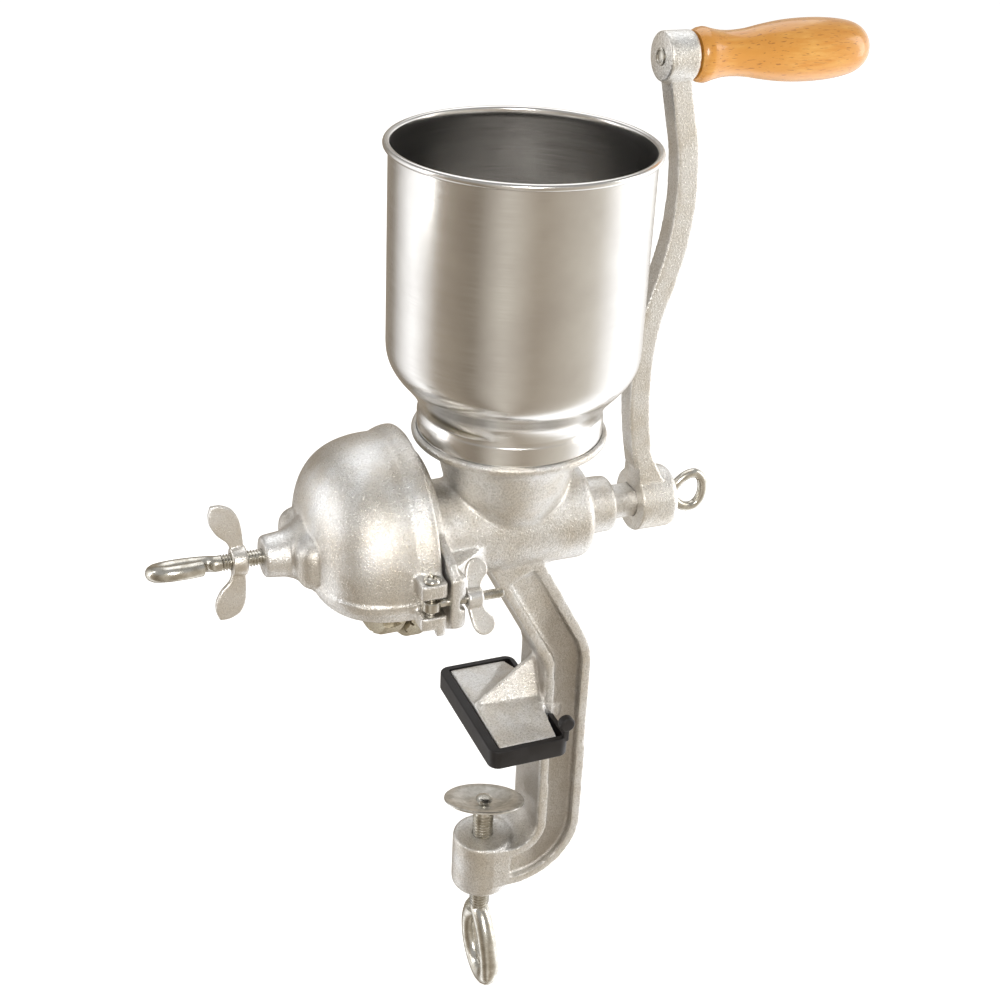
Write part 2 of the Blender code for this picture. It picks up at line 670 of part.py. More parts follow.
# ---------------------------------------------------------------- crank
def arm_line():
    """Centre line of the crank arm, (x, z): it bows in towards the hopper's neck and out past its rim."""
    return smooth([(80, 6), (77, 19), (73, 40), (70.6, 62), (70.6, 84), (73.2, 105), (79.6, 127),
                   (84.2, 147), (85.8, 168), (84.4, 190), (81, 206), (77.4, 222), (75.4, 232)], 2)


def crank_arm(iron, rotor):
    line = arm_line()
    arm = plate("crank_arm", ribbon(line, ARM_WIDTH / 2, ARM_WIDTH / 2), ARM_DEPTH)
    hub = turned("crank_hub", [(0, HUB_RIGHT), (13, HUB_RIGHT), (16, 93.6), (HUB_R, 90.6),
                               (HUB_R, HUB_LEFT + 1), (HUB_R - 1, HUB_LEFT), (0, HUB_LEFT)], "X",
                 steps=32)
    top = turned("top_boss", [(0, 83), (10.6, 83), (11.8, 81.6), (11.8, 68.4), (10.8, 67.2), (0, 67.2)],
                 "X", (0, 0, GRIP_Z), 28)
    join(arm, hub, top)
    middle = line[4:-3]
    channel = plate("arm_channel", ribbon(middle, 3.9 + 3, 3.9 - ARM_WIDTH), 5.6)
    bore = rod("hub_bore", SHAFT_R + GAP, HUB_LEFT - 3, 90.4, steps=24)
    cut(bore, *flats("hub_flat", 7.9))
    cut(arm, bore, channel, rod("hub_screw_hole", 2.95, 88, 98, steps=16),
        rod("pin_bore", 3.3, 60, 90, at=(0, 0, GRIP_Z), steps=16))
    return place(arm, iron, rotor)


def crank_eye_screw(steel, pivot):
    route = eye_path(80, 97.5, 117, 11.6, 2.65)
    return place(tube("crank_eye_screw", [(x, 0, z) for x, z in route], 2.65), steel, pivot)


def grip_pin(steel, rotor):
    pin = turned("grip_pin", [(0, 164), (2.4, 164), (3, 163), (3, 66.9), (4.2, 66.9), (3.2, 66.4),
                              (0, 66.4)], "X", (0, 0, GRIP_Z), 16)
    return place(pin, steel, rotor)


def wooden_grip(wood, pivot):
    """Turned hardwood: a collar at the crank, a narrow neck, a full belly and a rounded end."""
    outside = [(0, 179), (4.4, 178.4), (8.4, 176), (11.8, 171), (14.1, 160), (15, 142), (13.6, 125),
               (11.2, 111), (10.7, 104), (11.4, 97), (12.7, 91), (12.6, 86), (11.8, 84), (3.4, 84),
               (3.4, 166), (0, 166)]
    return place(turned("wooden_grip", outside, "X", (0, 0, GRIP_Z), 20), wood, pivot)


def grip_washer(steel, pivot):
    washer = turned("grip_washer", [(6.6, 83.8), (6.6, 83.2), (3.3, 83.2), (3.3, 83.8)], "X",
                    (0, 0, GRIP_Z), 16, True)
    return place(washer, steel, pivot)


# ---------------------------------------------------------------- clamp
def clamp_screw(steel, pivot):
    """Threaded rod with an eye at its foot that leans to the near side, and a peened end for the disc."""
    neck, tip, lean = -267, -310, -9
    route = eye_path(-191.9, neck, tip, 17, 5.5)
    points = []
    for z, y in route:
        along = max((z - neck) / (tip - neck), 0)
        points.append((CLAMP_X, lean * along ** 1.5 - y, z, CLAMP_SCREW_R / 5.5 if z > neck - 0.5 else 1))
    screw = tube("clamp_screw", points, 5.5)
    end = turned("peened_end", [(0, -183.2), (3.4, -183.4), (4.9, -184.4), (4.9, -185.2), (3.1, -185.6),
                                (3.1, -193), (0, -193)], at=(CLAMP_X, 0, 0), steps=16)
    return place(join(screw, end), steel, pivot)


def clamp_washer(steel, slide):
    washer = turned("clamp_washer", [(5.4, -191), (5.4, -191.6), (3.4, -191.6), (3.4, -191)],
                    at=(CLAMP_X, 0, 0), steps=16, ring=True)
    return place(washer, steel, slide)


def clamp_disc(steel, pivot):
    """Dished pressure disc, loose on the screw's neck so that it can lean and find the table."""
    disc = turned("clamp_disc", [(r, z - DISC_PIVOT_Z) for r, z in (
        (DISC_R - 0.4, DISC_TOP), (DISC_R, DISC_TOP - 0.4), (DISC_R, DISC_TOP - 1.2),
        (DISC_R - 0.5, DISC_TOP - 1.6), (18.5, DISC_TOP - 1.6), (9, -188.9), (3.8, -188.9),
        (3.8, -187.3), (9.4, -187.3), (19, DISC_TOP))], at=(CLAMP_X, 0, DISC_PIVOT_Z), ring=True)
    heading = math.radians(DISC_TILT_HEADING)
    axis = (-math.sin(heading), math.cos(heading), 0)
    disc.rotation_euler = Matrix.Rotation(math.radians(DISC_TILT), 3, axis).to_euler()
    return place(disc, steel, pivot)


# ---------------------------------------------------------------- the whole mill
def main():
    start_scene()
    iron = finish("tinned_cast_iron", (0.62, 0.60, 0.56), 0.42, 1.0)
    burr_iron = finish("bare_burr_iron", (0.50, 0.49, 0.46), 0.5, 1.0)
    sheet = finish("spun_steel", (0.66, 0.63, 0.58), 0.28, 1.0)
    zinc = finish("zinc_plated_steel", (0.62, 0.62, 0.60), 0.35, 1.0)
    wood = finish("varnished_hardwood", (0.72, 0.36, 0.10), 0.35, 0.0)
    rubber = finish("black_rubber", (0.02, 0.02, 0.02), 0.55, 0.0)

    rotor = axis_empty("auger_axis", (0, 0, 0), centre)
    grip_axis = axis_empty("grip_axis", (0, 0, GRIP_Z), centre)
    clamp_axis = axis_empty("clamp_axis", (CLAMP_X, 0, 0), centre)

    body_casting(iron)
    jaw_boot(rubber)
    hopper(sheet)
    stationary_burr(burr_iron)
    burr_screws(zinc)
    front_cover(iron)
    worm_auger(iron, rotor)
    rotating_burr(burr_iron, rotor)
    place(rod("burr_drive_pin", 2, -15.5, 15.5, "Y", (DRIVE_PIN_X, 0, 0), 12), zinc, rotor)
    thrust_ball(zinc, rotor)
    adjusting_screw(zinc, rotor)
    adjusting_lock_nut(zinc, rotor)
    crank_arm(iron, rotor)
    crank_eye_screw(zinc, rotor)
    grip_pin(zinc, grip_axis)
    grip_washer(zinc, grip_axis)
    wooden_grip(wood, grip_axis)
    for name, side in (("near", -1), ("far", 1)):
        pivot = axis_empty(f"swing_axis_{name}", (PIVOT_X, side * PIVOT_Y, BOLT_Z), centre)
        cover_pivot_screw(f"cover_pivot_screw_{name}", side, zinc)
        swing_bolt(f"swing_bolt_{name}", side, zinc, pivot)
        swing_wing_nut(f"swing_wing_nut_{name}", side, zinc, pivot)
    clamp_screw(zinc, clamp_axis)
    clamp_washer(zinc, clamp_axis)
    clamp_disc(zinc, axis_empty("disc_pivot", (CLAMP_X, 0, DISC_PIVOT_Z), centre))


main()
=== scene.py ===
# %% [markdown]
# # A hand-cranked grain mill
#
# The real mill is a tinned iron casting on a C-shaped leg, with a spun hopper on top, a domed cover over
# the burrs, a curved crank with a wooden grip, and a clamp for a table edge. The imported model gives
# every place and size. Each piece is made again here with its cast fillets, threads and turned edges,
# and gets the finish of its real metal, wood or rubber.

# %% Load the frame
import json
import math

import bpy
from mathutils import Matrix, Vector

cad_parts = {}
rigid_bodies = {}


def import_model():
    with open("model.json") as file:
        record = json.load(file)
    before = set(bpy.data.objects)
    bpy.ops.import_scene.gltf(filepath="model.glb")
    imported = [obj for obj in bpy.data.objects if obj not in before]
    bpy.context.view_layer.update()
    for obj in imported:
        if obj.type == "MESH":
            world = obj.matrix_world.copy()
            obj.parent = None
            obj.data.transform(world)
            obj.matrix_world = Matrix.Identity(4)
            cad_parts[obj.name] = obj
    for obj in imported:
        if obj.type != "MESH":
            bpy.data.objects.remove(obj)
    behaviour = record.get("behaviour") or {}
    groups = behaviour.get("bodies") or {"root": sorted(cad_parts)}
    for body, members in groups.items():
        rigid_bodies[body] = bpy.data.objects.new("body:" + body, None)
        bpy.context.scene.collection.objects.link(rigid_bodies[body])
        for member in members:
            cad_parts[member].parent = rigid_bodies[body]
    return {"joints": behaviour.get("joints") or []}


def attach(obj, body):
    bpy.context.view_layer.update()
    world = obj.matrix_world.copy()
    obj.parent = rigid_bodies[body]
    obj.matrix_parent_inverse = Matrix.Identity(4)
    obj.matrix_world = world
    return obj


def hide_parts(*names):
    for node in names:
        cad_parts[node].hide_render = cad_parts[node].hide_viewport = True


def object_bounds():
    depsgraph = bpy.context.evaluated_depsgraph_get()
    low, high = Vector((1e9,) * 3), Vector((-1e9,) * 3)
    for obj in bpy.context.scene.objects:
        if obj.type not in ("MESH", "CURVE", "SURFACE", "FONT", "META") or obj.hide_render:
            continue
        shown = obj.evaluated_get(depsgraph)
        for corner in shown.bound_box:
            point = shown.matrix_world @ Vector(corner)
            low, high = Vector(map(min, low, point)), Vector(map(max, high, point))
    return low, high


for old in list(bpy.data.objects):
    bpy.data.objects.remove(old, do_unlink=True)
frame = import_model()
cad_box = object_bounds()
print("CAD box", [[round(value, 4) for value in corner] for corner in cad_box])

# %% [markdown]
# The mill is laid out from one point, where the auger's axis (along X) crosses the hopper's axis (Z).
# Lengths are in millimetres from there, as on a workshop drawing, and `place` makes them metres.
# The crossing is read from the crank's joint, the clamp's axis stands at zero in X, and the clamp
# disc's height is read from the disc's own joint.

# %% Where the mill is
MM = 0.001
joints = {joint["name"]: joint for joint in frame["joints"]}
CENTRE = Vector(joints["crank_turn"]["pos_m"])
CLAMP_X = -CENTRE.x / MM
JAW_Z = -CENTRE.z / MM
GRIP_Z = (joints["grip_turn"]["pos_m"][2] - CENTRE.z) / MM
BOLT_PIVOT = (Vector(joints["far_bolt_swing"]["pos_m"]) - CENTRE) / MM
PIVOT_X, PIVOT_Y, BOLT_Z = BOLT_PIVOT
DISC_Z = (joints["clamp_disc_tilt"]["pos_m"][2] - CENTRE.z) / MM
AXES = {"X": Vector((1, 0, 0)), "Y": Vector((0, 1, 0)), "Z": Vector((0, 0, 1))}
print("auger and hopper cross at", [round(value, 4) for value in CENTRE])


def place(point):
    """Millimetres from the crossing, made a point in metres."""
    return CENTRE + Vector(point) * MM


# %% [markdown]
# Everything is modelled with the same few moves that a hand would make: draw a line point by point, spin
# it as on a lathe, or fill it and pull it out to a thickness. Each helper leaves one closed object whose
# faces point outwards.

# %% Selecting and editing
def clear():
    if bpy.context.object and bpy.context.object.mode != "OBJECT":
        bpy.ops.object.mode_set(mode="OBJECT")
    bpy.ops.object.select_all(action="DESELECT")


def pick(obj):
    """Makes obj the only selected object."""
    clear()
    obj.select_set(True)
    bpy.context.view_layer.objects.active = obj
    return obj


def close_up(obj):
    """Merges doubles, turns the faces outwards and leaves edit mode."""
    bpy.ops.mesh.select_all(action="SELECT")
    bpy.ops.mesh.remove_doubles(threshold=0.000002)
    bpy.ops.mesh.normals_make_consistent(inside=False)
    bpy.ops.object.mode_set(mode="OBJECT")
    return obj


def trace(name, points):
    """Draws a line from point to point (metres) by extruding one vertex, and stays in edit mode."""
    clear()
    bpy.ops.mesh.primitive_plane_add(size=0.001, location=(0, 0, 0))
    line = bpy.context.object
    line.name = name
    bpy.ops.object.mode_set(mode="EDIT")
    bpy.ops.mesh.select_mode(type="VERT")
    bpy.ops.mesh.select_all(action="SELECT")
    bpy.ops.mesh.merge(type="CENTER")
    bpy.ops.transform.translate(value=points[0])
    for start, end in zip(points, points[1:]):
        bpy.ops.mesh.extrude_region_move(TRANSFORM_OT_translate={"value": end - start})
    bpy.ops.mesh.select_all(action="SELECT")
    return line


# %% Turning, extruding and bending
def turned(name, profile, axis="Z", at=(0, 0, 0), steps=96, ring=False):
    """Lathe work: profile holds (radius, height) pairs, and a ring's profile closes on itself."""
    side = AXES["Y"] if axis == "X" else AXES["X"]
    pairs = [*profile, profile[0]] if ring else profile
    obj = trace(name, [place(at) + (side * radius + AXES[axis] * height) * MM
                       for radius, height in pairs])
    bpy.ops.mesh.spin(steps=steps, angle=2 * math.pi, center=place(at), axis=AXES[axis])
    return close_up(obj)


def rod(name, radius, start, end, axis="X", at=(0, 0, 0), steps=48, chamfer=0.0):
    profile = [(0, end), (radius - chamfer, end), (radius, end - chamfer), (radius, start + chamfer),
               (radius - chamfer, start), (0, start)]
    return turned(name, profile, axis, at, steps)


def prism(name, outline, low, high, plane="XZ"):
    """Flat outline in the XZ, XY or YZ plane, pulled out from low to high along the third axis."""
    order = {"XZ": (0, 2, 1), "XY": (0, 1, 2), "YZ": (2, 0, 1)}[plane]
    points = [[(a, b, low)[k] for k in order] for a, b in outline]
    obj = trace(name, [place(point) for point in points])
    bpy.ops.mesh.edge_face_add()
    pull = Vector([(0, 0, high - low)[k] for k in order]) * MM
    bpy.ops.mesh.extrude_region_move(TRANSFORM_OT_translate={"value": pull})
    return close_up(obj)


def hull(name, points):
    """The tightest solid round a few corners."""
    obj = trace(name, [place(point) for point in points])
    bpy.ops.mesh.convex_hull()
    return close_up(obj)


def block(name, low, high, bevel=0.0, segments=3):
    """A box between two corners, with its edges rounded by bevel."""
    clear()
    middle = [(a + b) / 2 for a, b in zip(low, high)]
    bpy.ops.mesh.primitive_cube_add(size=1, location=place(middle))
    obj = bpy.context.object
    obj.name = name
    obj.scale = [(b - a) * MM for a, b in zip(low, high)]
    bpy.ops.object.transform_apply(location=True, rotation=True, scale=True)
    bpy.ops.object.mode_set(mode="EDIT")
    bpy.ops.mesh.select_all(action="SELECT")
    if bevel:
        bpy.ops.mesh.bevel(offset=bevel * MM, segments=segments, affect="EDGES")
    return close_up(obj)


def bent(name, points, radius):
    """Round bar bent through (x, y, z) points, with an optional radius factor as the fourth value."""
    clear()
    bpy.ops.curve.primitive_bezier_curve_add(location=(0, 0, 0))
    obj = bpy.context.object
    obj.name = name
    curve = obj.data
    curve.splines.clear()
    line = curve.splines.new("NURBS")
    line.points.add(len(points) - 1)
    for point, value in zip(line.points, points):
        point.co = (*place(value[:3]), 1)
        point.radius = value[3] if len(value) > 3 else 1
    line.order_u = 4
    line.use_endpoint_u = True
    line.resolution_u = 4
    curve.bevel_depth = radius * MM
    curve.bevel_resolution = 6
    curve.use_fill_caps = True
    bpy.ops.object.convert(target="MESH")
    bpy.ops.object.mode_set(mode="EDIT")
    return close_up(obj)


# %% Joining, cutting and casting
def apply(obj, kind, **settings):
    """Adds one modifier and applies it."""
    pick(obj)
    step = obj.modifiers.new(kind.lower(), kind)
    for key, value in settings.items():
        setattr(step, key, value)
    bpy.ops.object.modifier_apply(modifier=step.name)
    return obj


def carve(obj, *tools, operation="DIFFERENCE"):
    """Cuts each tool out of obj, or welds it on with UNION."""
    for tool in tools:
        apply(obj, "BOOLEAN", object=tool, operation=operation, solver="MANIFOLD")
        bpy.data.objects.remove(tool, do_unlink=True)
    return obj


def weld(obj, *tools):
    return carve(obj, *tools, operation="UNION")


def slice_off(obj, point, direction):
    """Bisects obj and drops what lies on the side that direction points to."""
    pick(obj)
    bpy.ops.object.mode_set(mode="EDIT")
    bpy.ops.mesh.select_all(action="SELECT")
    bpy.ops.mesh.bisect(plane_co=place(point), plane_no=direction, use_fill=True, clear_outer=True)
    return close_up(obj)


def cast(name, solids, grain, rounds, keep=1.0):
    """Fuses solids as molten iron would: one skin, with every corner run out to a fillet."""
    clear()
    for solid in solids:
        solid.select_set(True)
    bpy.context.view_layer.objects.active = solids[0]
    bpy.ops.object.join()
    obj = solids[0]
    obj.name = name
    apply(obj, "REMESH", mode="VOXEL", voxel_size=grain * MM)
    apply(obj, "SMOOTH", factor=0.5, iterations=rounds)
    if keep < 1:
        apply(obj, "DECIMATE", ratio=keep)
    return obj


def turn(obj, degrees, axis, at):
    """Turns obj's mesh about an axis through a point of the mill."""
    pick(obj)
    spin = Matrix.Rotation(math.radians(degrees), 4, AXES[axis])
    obj.matrix_world = Matrix.Translation(place(at)) @ spin @ Matrix.Translation(-place(at))
    bpy.ops.object.transform_apply(location=True, rotation=True, scale=True)
    return obj


def shift(obj, move):
    """Slides obj's mesh by so many millimetres."""
    pick(obj)
    obj.location = Vector(move) * MM
    bpy.ops.object.transform_apply(location=True, rotation=True, scale=True)
    return obj


def thread(name, radius, pitch, start, end, axis, at=(0, 0, 0)):
    """The raised helix of a screw thread: a triangle that climbs one pitch a turn."""
    height = pitch * 0.6
    out = AXES["Y"] if axis == "X" else AXES["X"]
    corners = [(radius - height - 0.2, 0), (radius, pitch * 0.4), (radius, pitch * 0.52),
               (radius - height - 0.2, pitch * 0.92)]
    corners.append(corners[0])
    base = place(at) + AXES[axis] * start * MM
    obj = trace(name, [base + (out * r + AXES[axis] * h) * MM for r, h in corners])
    bpy.ops.mesh.remove_doubles(threshold=0.000001)
    bpy.ops.object.mode_set(mode="OBJECT")
    shifted = place(at)
    obj.data.transform(Matrix.Translation(-shifted))
    turns = int((end - start) / pitch) - 1
    apply(obj, "SCREW", axis=axis, angle=2 * math.pi, screw_offset=pitch * MM, iterations=turns,
          steps=24, render_steps=24, use_merge_vertices=True, merge_threshold=0.000001)
    obj.data.transform(Matrix.Translation(shifted))
    pick(obj)
    bpy.ops.object.mode_set(mode="EDIT")
    bpy.ops.mesh.select_mode(type="EDGE")
    bpy.ops.mesh.select_all(action="SELECT")
    bpy.ops.mesh.fill_holes(sides=0)
    return close_up(obj)


# %% [markdown]
# Curved outlines are worked out from a centre line: arcs for the bends, a smooth curve for the crank,
# and a ribbon that runs the same distance to both sides of the line.

# %% Outlines
def arc(cx, cy, radius, start, end, count):
    angles = [math.radians(start + (end - start) * i / count) for i in range(count + 1)]
    return [(cx + radius * math.cos(a), cy + radius * math.sin(a)) for a in angles]


def smooth(points, per_span):
    """More points on a Catmull-Rom curve through the given ones."""
    ends = [points[0], *points, points[-1]]
    result = []
    for a, b, c, d in zip(ends, ends[1:], ends[2:], ends[3:]):
        for i in range(per_span):
            t = i / per_span
            weights = (-t + 2 * t * t - t ** 3, 2 - 5 * t * t + 3 * t ** 3,
                       t + 4 * t * t - 3 * t ** 3, -t * t + t ** 3)
            result.append(tuple(sum(w * p[k] for w, p in zip(weights, (a, b, c, d))) / 2
                                for k in range(2)))
    return result + [points[-1]]


def ribbon(line, left, right):
    """Outline of a strip that runs left and right of a line."""
    sides = ([], [])
    for i, point in enumerate(line):
        before, after = line[max(i - 1, 0)], line[min(i + 1, len(line) - 1)]
        way = Vector((after[0] - before[0], after[1] - before[1])).normalized()
        sides[0].append((point[0] - way.y * left, point[1] + way.x * left))
        sides[1].append((point[0] + way.y * right, point[1] - way.x * right))
    return sides[0] + sides[1][::-1]


def eye_path(shank, neck, tip, half_width, rod_radius):
    """A rod bent into an eye: along its axis, round the eye, and back beside the neck."""
    path = [(shank, 0), ((shank + neck) / 2, 0), (neck, 0)]
    count = 30
    for i in range(1, count):
        t = 2 * math.pi * i / count
        along = neck + (tip - neck) * (1 - math.cos(t)) / 2
        side = half_width * math.sin(t) * (0.62 + 0.38 * math.sin(t / 2) ** 2) * 1.08
        if t > math.pi and abs(side) < rod_radius + 0.5 and i > count * 0.64:
            break
        path.append((along, side))
    return path


# %% [markdown]
# ## The housing
#
# On the real mill the barrel, the throat with its cup, the flange, the leg, the jaw plate and the clamp
# boss are poured as one piece of grey iron and then tinned. Molten metal leaves no sharp inside corner,
# so the solids are fused into one skin with a voxel remesh and smoothed until the corners run out to
# fillets of 2 to 3 mm. The bores come after that, with sharp edges, because they are drilled and
# turned in the cold casting.

# %% Housing: sizes
BARREL_R = 26
CHAMBER_R = 20
SHAFT_R = 9.2
FLANGE_R = 46
FLANGE_FRONT = -54.6
REAR_BOSS_END = 59
CUP_TOP = 54.5
CUP_SEAT = 50.6
COLLAR_R = 47
LEG_WIDTH = 27
LEG_DEPTH = 36
RECESS = 4.5
BOSS_TOP = -209
BOSS_BOTTOM = -245
BOSS_R = 17.3
CLAMP_R = 6


# %% Housing: leg, jaw and clamp boss
def leg_line():
    """Centre line of the C-shaped leg, from the barrel down to the clamp boss."""
    bend = arc(5.4, -90.3, 30, 28.5, 0, 10)
    foot = arc(9.4, -197, 27.5, 0, -90, 20)
    return [(-1.4, -15), *bend, *foot, (CLAMP_X, -224.5)]


def leg():
    line = leg_line()
    half = LEG_WIDTH / 2
    bar = prism("leg", ribbon(line, half, half), -LEG_DEPTH / 2, LEG_DEPTH / 2)
    inner = [(4.5, -27), *line[1:-1], (8, -224.5)]
    for side in (-1, 1):
        faces = sorted((side * (LEG_DEPTH / 2 - RECESS), side * (LEG_DEPTH / 2 + 5)))
        carve(bar, prism("pocket", ribbon(inner, 7.8, 7.8), *faces))
    return bar


def jaw():
    """Jaw plate with its gabled top, and the sail that braces it to the leg."""
    base = block("jaw_base", (-12.7, -38.7, -124.2), (21.5, 38.7, -118.2), 1)
    arm = block("jaw_arm", (15, -15, -123.6), (33, 15, -116.4))
    eaves = [(x, y, z) for x, y in ((-12.2, -38.2), (-12.2, 38.2), (21, -38.2), (21, 38.2))
             for z in (-122, -118)]
    roof = hull("jaw_roof", [*eaves, (-12.2, 0, -115.8), (21, -12, -108.8), (21, 12, -108.8)])
    sail = hull("jaw_sail", [(-12.2, 0, -115), (-12.2, -2, -118), (-12.2, 2, -118), (29, -1.6, -83),
                             (29, 1.6, -83), (29, -15, -108), (29, 15, -108), (29, 0, -120)])
    return [base, arm, roof, sail]


def clamp_boss():
    top, foot, r = BOSS_TOP, BOSS_BOTTOM, BOSS_R
    return turned("clamp_boss", [(0, top), (r - 1.6, top), (r - 0.3, top - 0.6), (r, top - 2),
                                 (r, foot + 3), (r - 0.9, foot + 0.9), (r - 3, foot), (0, foot)],
                  at=(CLAMP_X, 0, 0))


leg_solids = [leg(), clamp_boss(), *jaw()]
print("leg, clamp boss and jaw:", len(leg_solids), "solids")


# %% Housing: barrel, throat, flange and lugs
def barrel():
    corner = arc(20.5, 37, 5.5, 0, 90, 8)
    return turned("barrel", [
        (0, REAR_BOSS_END), (14, REAR_BOSS_END), (15, 58), (15.3, 42.5), *corner[::-1],
        (BARREL_R, -38), (27.4, -43.5), (31.5, -46.6), (FLANGE_R - 1, -48.2), (FLANGE_R, -49),
        (FLANGE_R, FLANGE_FRONT), (0, FLANGE_FRONT)], "X")


def throat():
    return turned("throat", [
        (0, CUP_TOP), (49, CUP_TOP), (49.7, 53.8), (49.8, 51.6), (49, 50.2), (47.4, 49.4),
        (43, 47.4), (39, 45), (36.8, 42), (35.6, 38), (34.2, 32), (32.4, 25), (29.6, 17),
        (25.6, 9), (20, 2), (0, 2)])


def lug(side):
    """Slotted lug for a swing bolt; its rear face is an arc about the bolt's pivot."""
    reach = PIVOT_X + 16.9
    rear = [(-53.6, 49), (reach - 1.2, 49), *arc(reach - 4, 62, 4, 0, 90, 6), (-52, 66), (-53.6, 64.8)]
    body = prism("lug", [(x, side * y) for x, y in rear], -18, 10, "XY")
    slot = sorted((side * 57, side * 72))
    return carve(body, block("slot", (-58, slot[0], BOLT_Z - 3.4), (-40, slot[1], BOLT_Z + 3.4)))


def flange_plate():
    corners = [(66, 9), (60, 15.5), (22, 27.5), (66, -17), (38, -34)]
    sheet = [(x, side * y, z) for x in (-53.9, -49) for side in (-1, 1) for y, z in corners]
    pieces = [hull("flange_plate", sheet)]
    for side in (-1, 1):
        web = [(-49.8, 46.4, 1), (-49.8, 46.4, -7.6), (-24, 27, 1), (-24, 27, -9), (-16, 22, 1),
               (-16, 22, -11), (-49.8, 20, 1), (-49.8, 20, -12)]
        pieces.append(hull("web", [(x, side * y, z) for x, y, z in web]))
    return pieces


def leg_root():
    """Where the leg spreads out under the barrel."""
    return hull("leg_root", [(-14, -14, -20), (-14, 14, -20), (20, -14, -20), (20, 14, -20),
                             (-9.5, -15, -27), (-9.5, 15, -27), (21.5, -15, -27), (21.5, 15, -27)])


# %% Housing: cast, then machined
BURR_SCREW_CIRCLE = 36


def burr_screw_places():
    """The (y, z) of the three screws that hold the fixed burr."""
    angles = [math.radians(a) for a in (90, 210, 330)]
    return [(BURR_SCREW_CIRCLE * math.cos(a), BURR_SCREW_CIRCLE * math.sin(a)) for a in angles]


def housing():
    solids = [barrel(), throat(), leg_root(), lug(-1), lug(1), *flange_plate(), *leg_solids]
    iron = cast("housing_casting", solids, 1.0, 9, 0.55)
    face = block("flange_facing", (FLANGE_FRONT - 4, -80, -60), (FLANGE_FRONT, 80, 60))
    cup = turned("cup_bore", [
        (0, 70), (COLLAR_R + 0.3, 70), (COLLAR_R + 0.3, CUP_SEAT), (33, CUP_SEAT), (29, 34), (27, 24),
        (17, 15), (17, 5), (0, 5)])
    bores = [rod("chamber", CHAMBER_R, FLANGE_FRONT - 2, 37, steps=96),
             rod("shaft_bore", SHAFT_R + 0.3, 30, 70),
             rod("clamp_bore", CLAMP_R + 0.3, -260, -190, "Z", (CLAMP_X, 0, 0))]
    bores += [rod("tapping", 2.3, -57, -49, at=(0, y, z), steps=24) for y, z in burr_screw_places()]
    return carve(iron, face, cup, *bores)


housing_casting = housing()
print("housing:", len(housing_casting.data.polygons), "faces")

# %% [markdown]
# ## The cover
#
# The domed cover shields the burrs from above and lets the meal fall out below. Its rim flares into a
# raised band, its lower edge carries a thick lip with a thinner skirt inside, and a yoke on its front
# grows into the boss that the adjusting screw is tapped through. Two pairs of ears hold the swing
# bolts. It is cast thin, so it is fused at a finer grain and then hollowed out in one cut.

# %% Cover: sizes
COVER_RIM = -55
COVER_FACE = -129.5
HOOD_EDGE = -12.5
SKIRT_EDGE = -20


# %% Cover: dome, rim, lip and skirt
def dome(name, shrink, rim):
    outside = smooth([(54.8, -64), (54.9, -70), (54.2, -78), (52.2, -86), (48.8, -93), (43.8, -98.8),
                      (37.2, -103.4), (28.4, -106.6), (16, -108.6)], 3)
    curve = [(r - shrink, h + (shrink if h < -70 else 0)) for r, h in outside]
    return turned(name, [(0, rim), (curve[0][0], rim), *curve, (0, -109 + shrink)], "X", steps=128)


def between(obj, low, high):
    """Keeps what lies between two heights."""
    slice_off(obj, (0, 0, low), (0, 0, -1))
    return slice_off(obj, (0, 0, high), (0, 0, 1))


def rim_band():
    """The flared band round the open edge, standing 2 mm proud of the dome."""
    return turned("rim_band", [(0, -55), (56.6, -55), (57.4, -56), (57.4, -58.4), (56.9, -61),
                               (56, -63.6), (54.9, -66), (0, -66)], "X", steps=128)


def cover_ear(side, low, high, tip=0):
    outline = [(-68.4, 46), (-55, 46), *arc(-57, 63.4, 2, 0, 90, 4), *arc(-66.4, 63.4, 2, 90, 180, 4)]
    ear = prism("ear", [(x, side * y) for x, y in outline], low, high, "XY")
    if tip:
        point = [(x, side * y, low + depth) for x in (-60.6, -56) for y in (61, 65.4)
                 for depth in (2, -tip)]
        weld(ear, hull("ear_tip", point))
    return ear


# %% Cover: cast and hollowed
def cover():
    solids = [between(dome("dome", 0, COVER_RIM), HOOD_EDGE, 80), between(rim_band(), HOOD_EDGE, 80),
              between(dome("lip", -1.1, COVER_RIM - 0.6), HOOD_EDGE, HOOD_EDGE + 5.6),
              between(dome("skirt", 2.2, COVER_RIM - 1.2), SKIRT_EDGE, 0),
              block("yoke", (-116.5, -26, HOOD_EDGE + 0.3), (-84, 26, 15), 9.5, 6),
              turned("screw_boss", [(0, -90), (24, -90), (21, -104), (16.5, -110.5), (13.4, -114.5),
                                    (11.6, -119), (10.9, -126), (10.5, -128.6), (9.4, COVER_FACE),
                                    (0, COVER_FACE)], "X")]
    for side in (-1, 1):
        solids.append(cover_ear(side, 0.5, 8.6))
        solids.append(cover_ear(side, -16.8, -9.6, 4))
    iron = cast("domed_cover", solids, 0.85, 7, 0.55)
    cavity = turned("cavity", [(0, -50), (51.7, -50), (51.7, -70), *smooth(
        [(51.2, -76), (49.6, -82), (46.2, -88.6), (40.8, -94.6), (33, -99.4), (23, -102.4), (0, -104)],
        3)], "X", steps=128)
    bores = [rod("screw_bore", 4.4, -135, -95)]
    for side in (-1, 1):
        bores.append(rod("pivot_bore", 2.5, -30, 20, "Z", (PIVOT_X, side * PIVOT_Y, 0), 24))
    face = block("rim_facing", (COVER_RIM - 0.1, -80, -40), (-40, 80, 80))
    return carve(iron, face, cavity, *bores)


domed_cover = cover()
print("cover:", len(domed_cover.data.polygons), "faces")

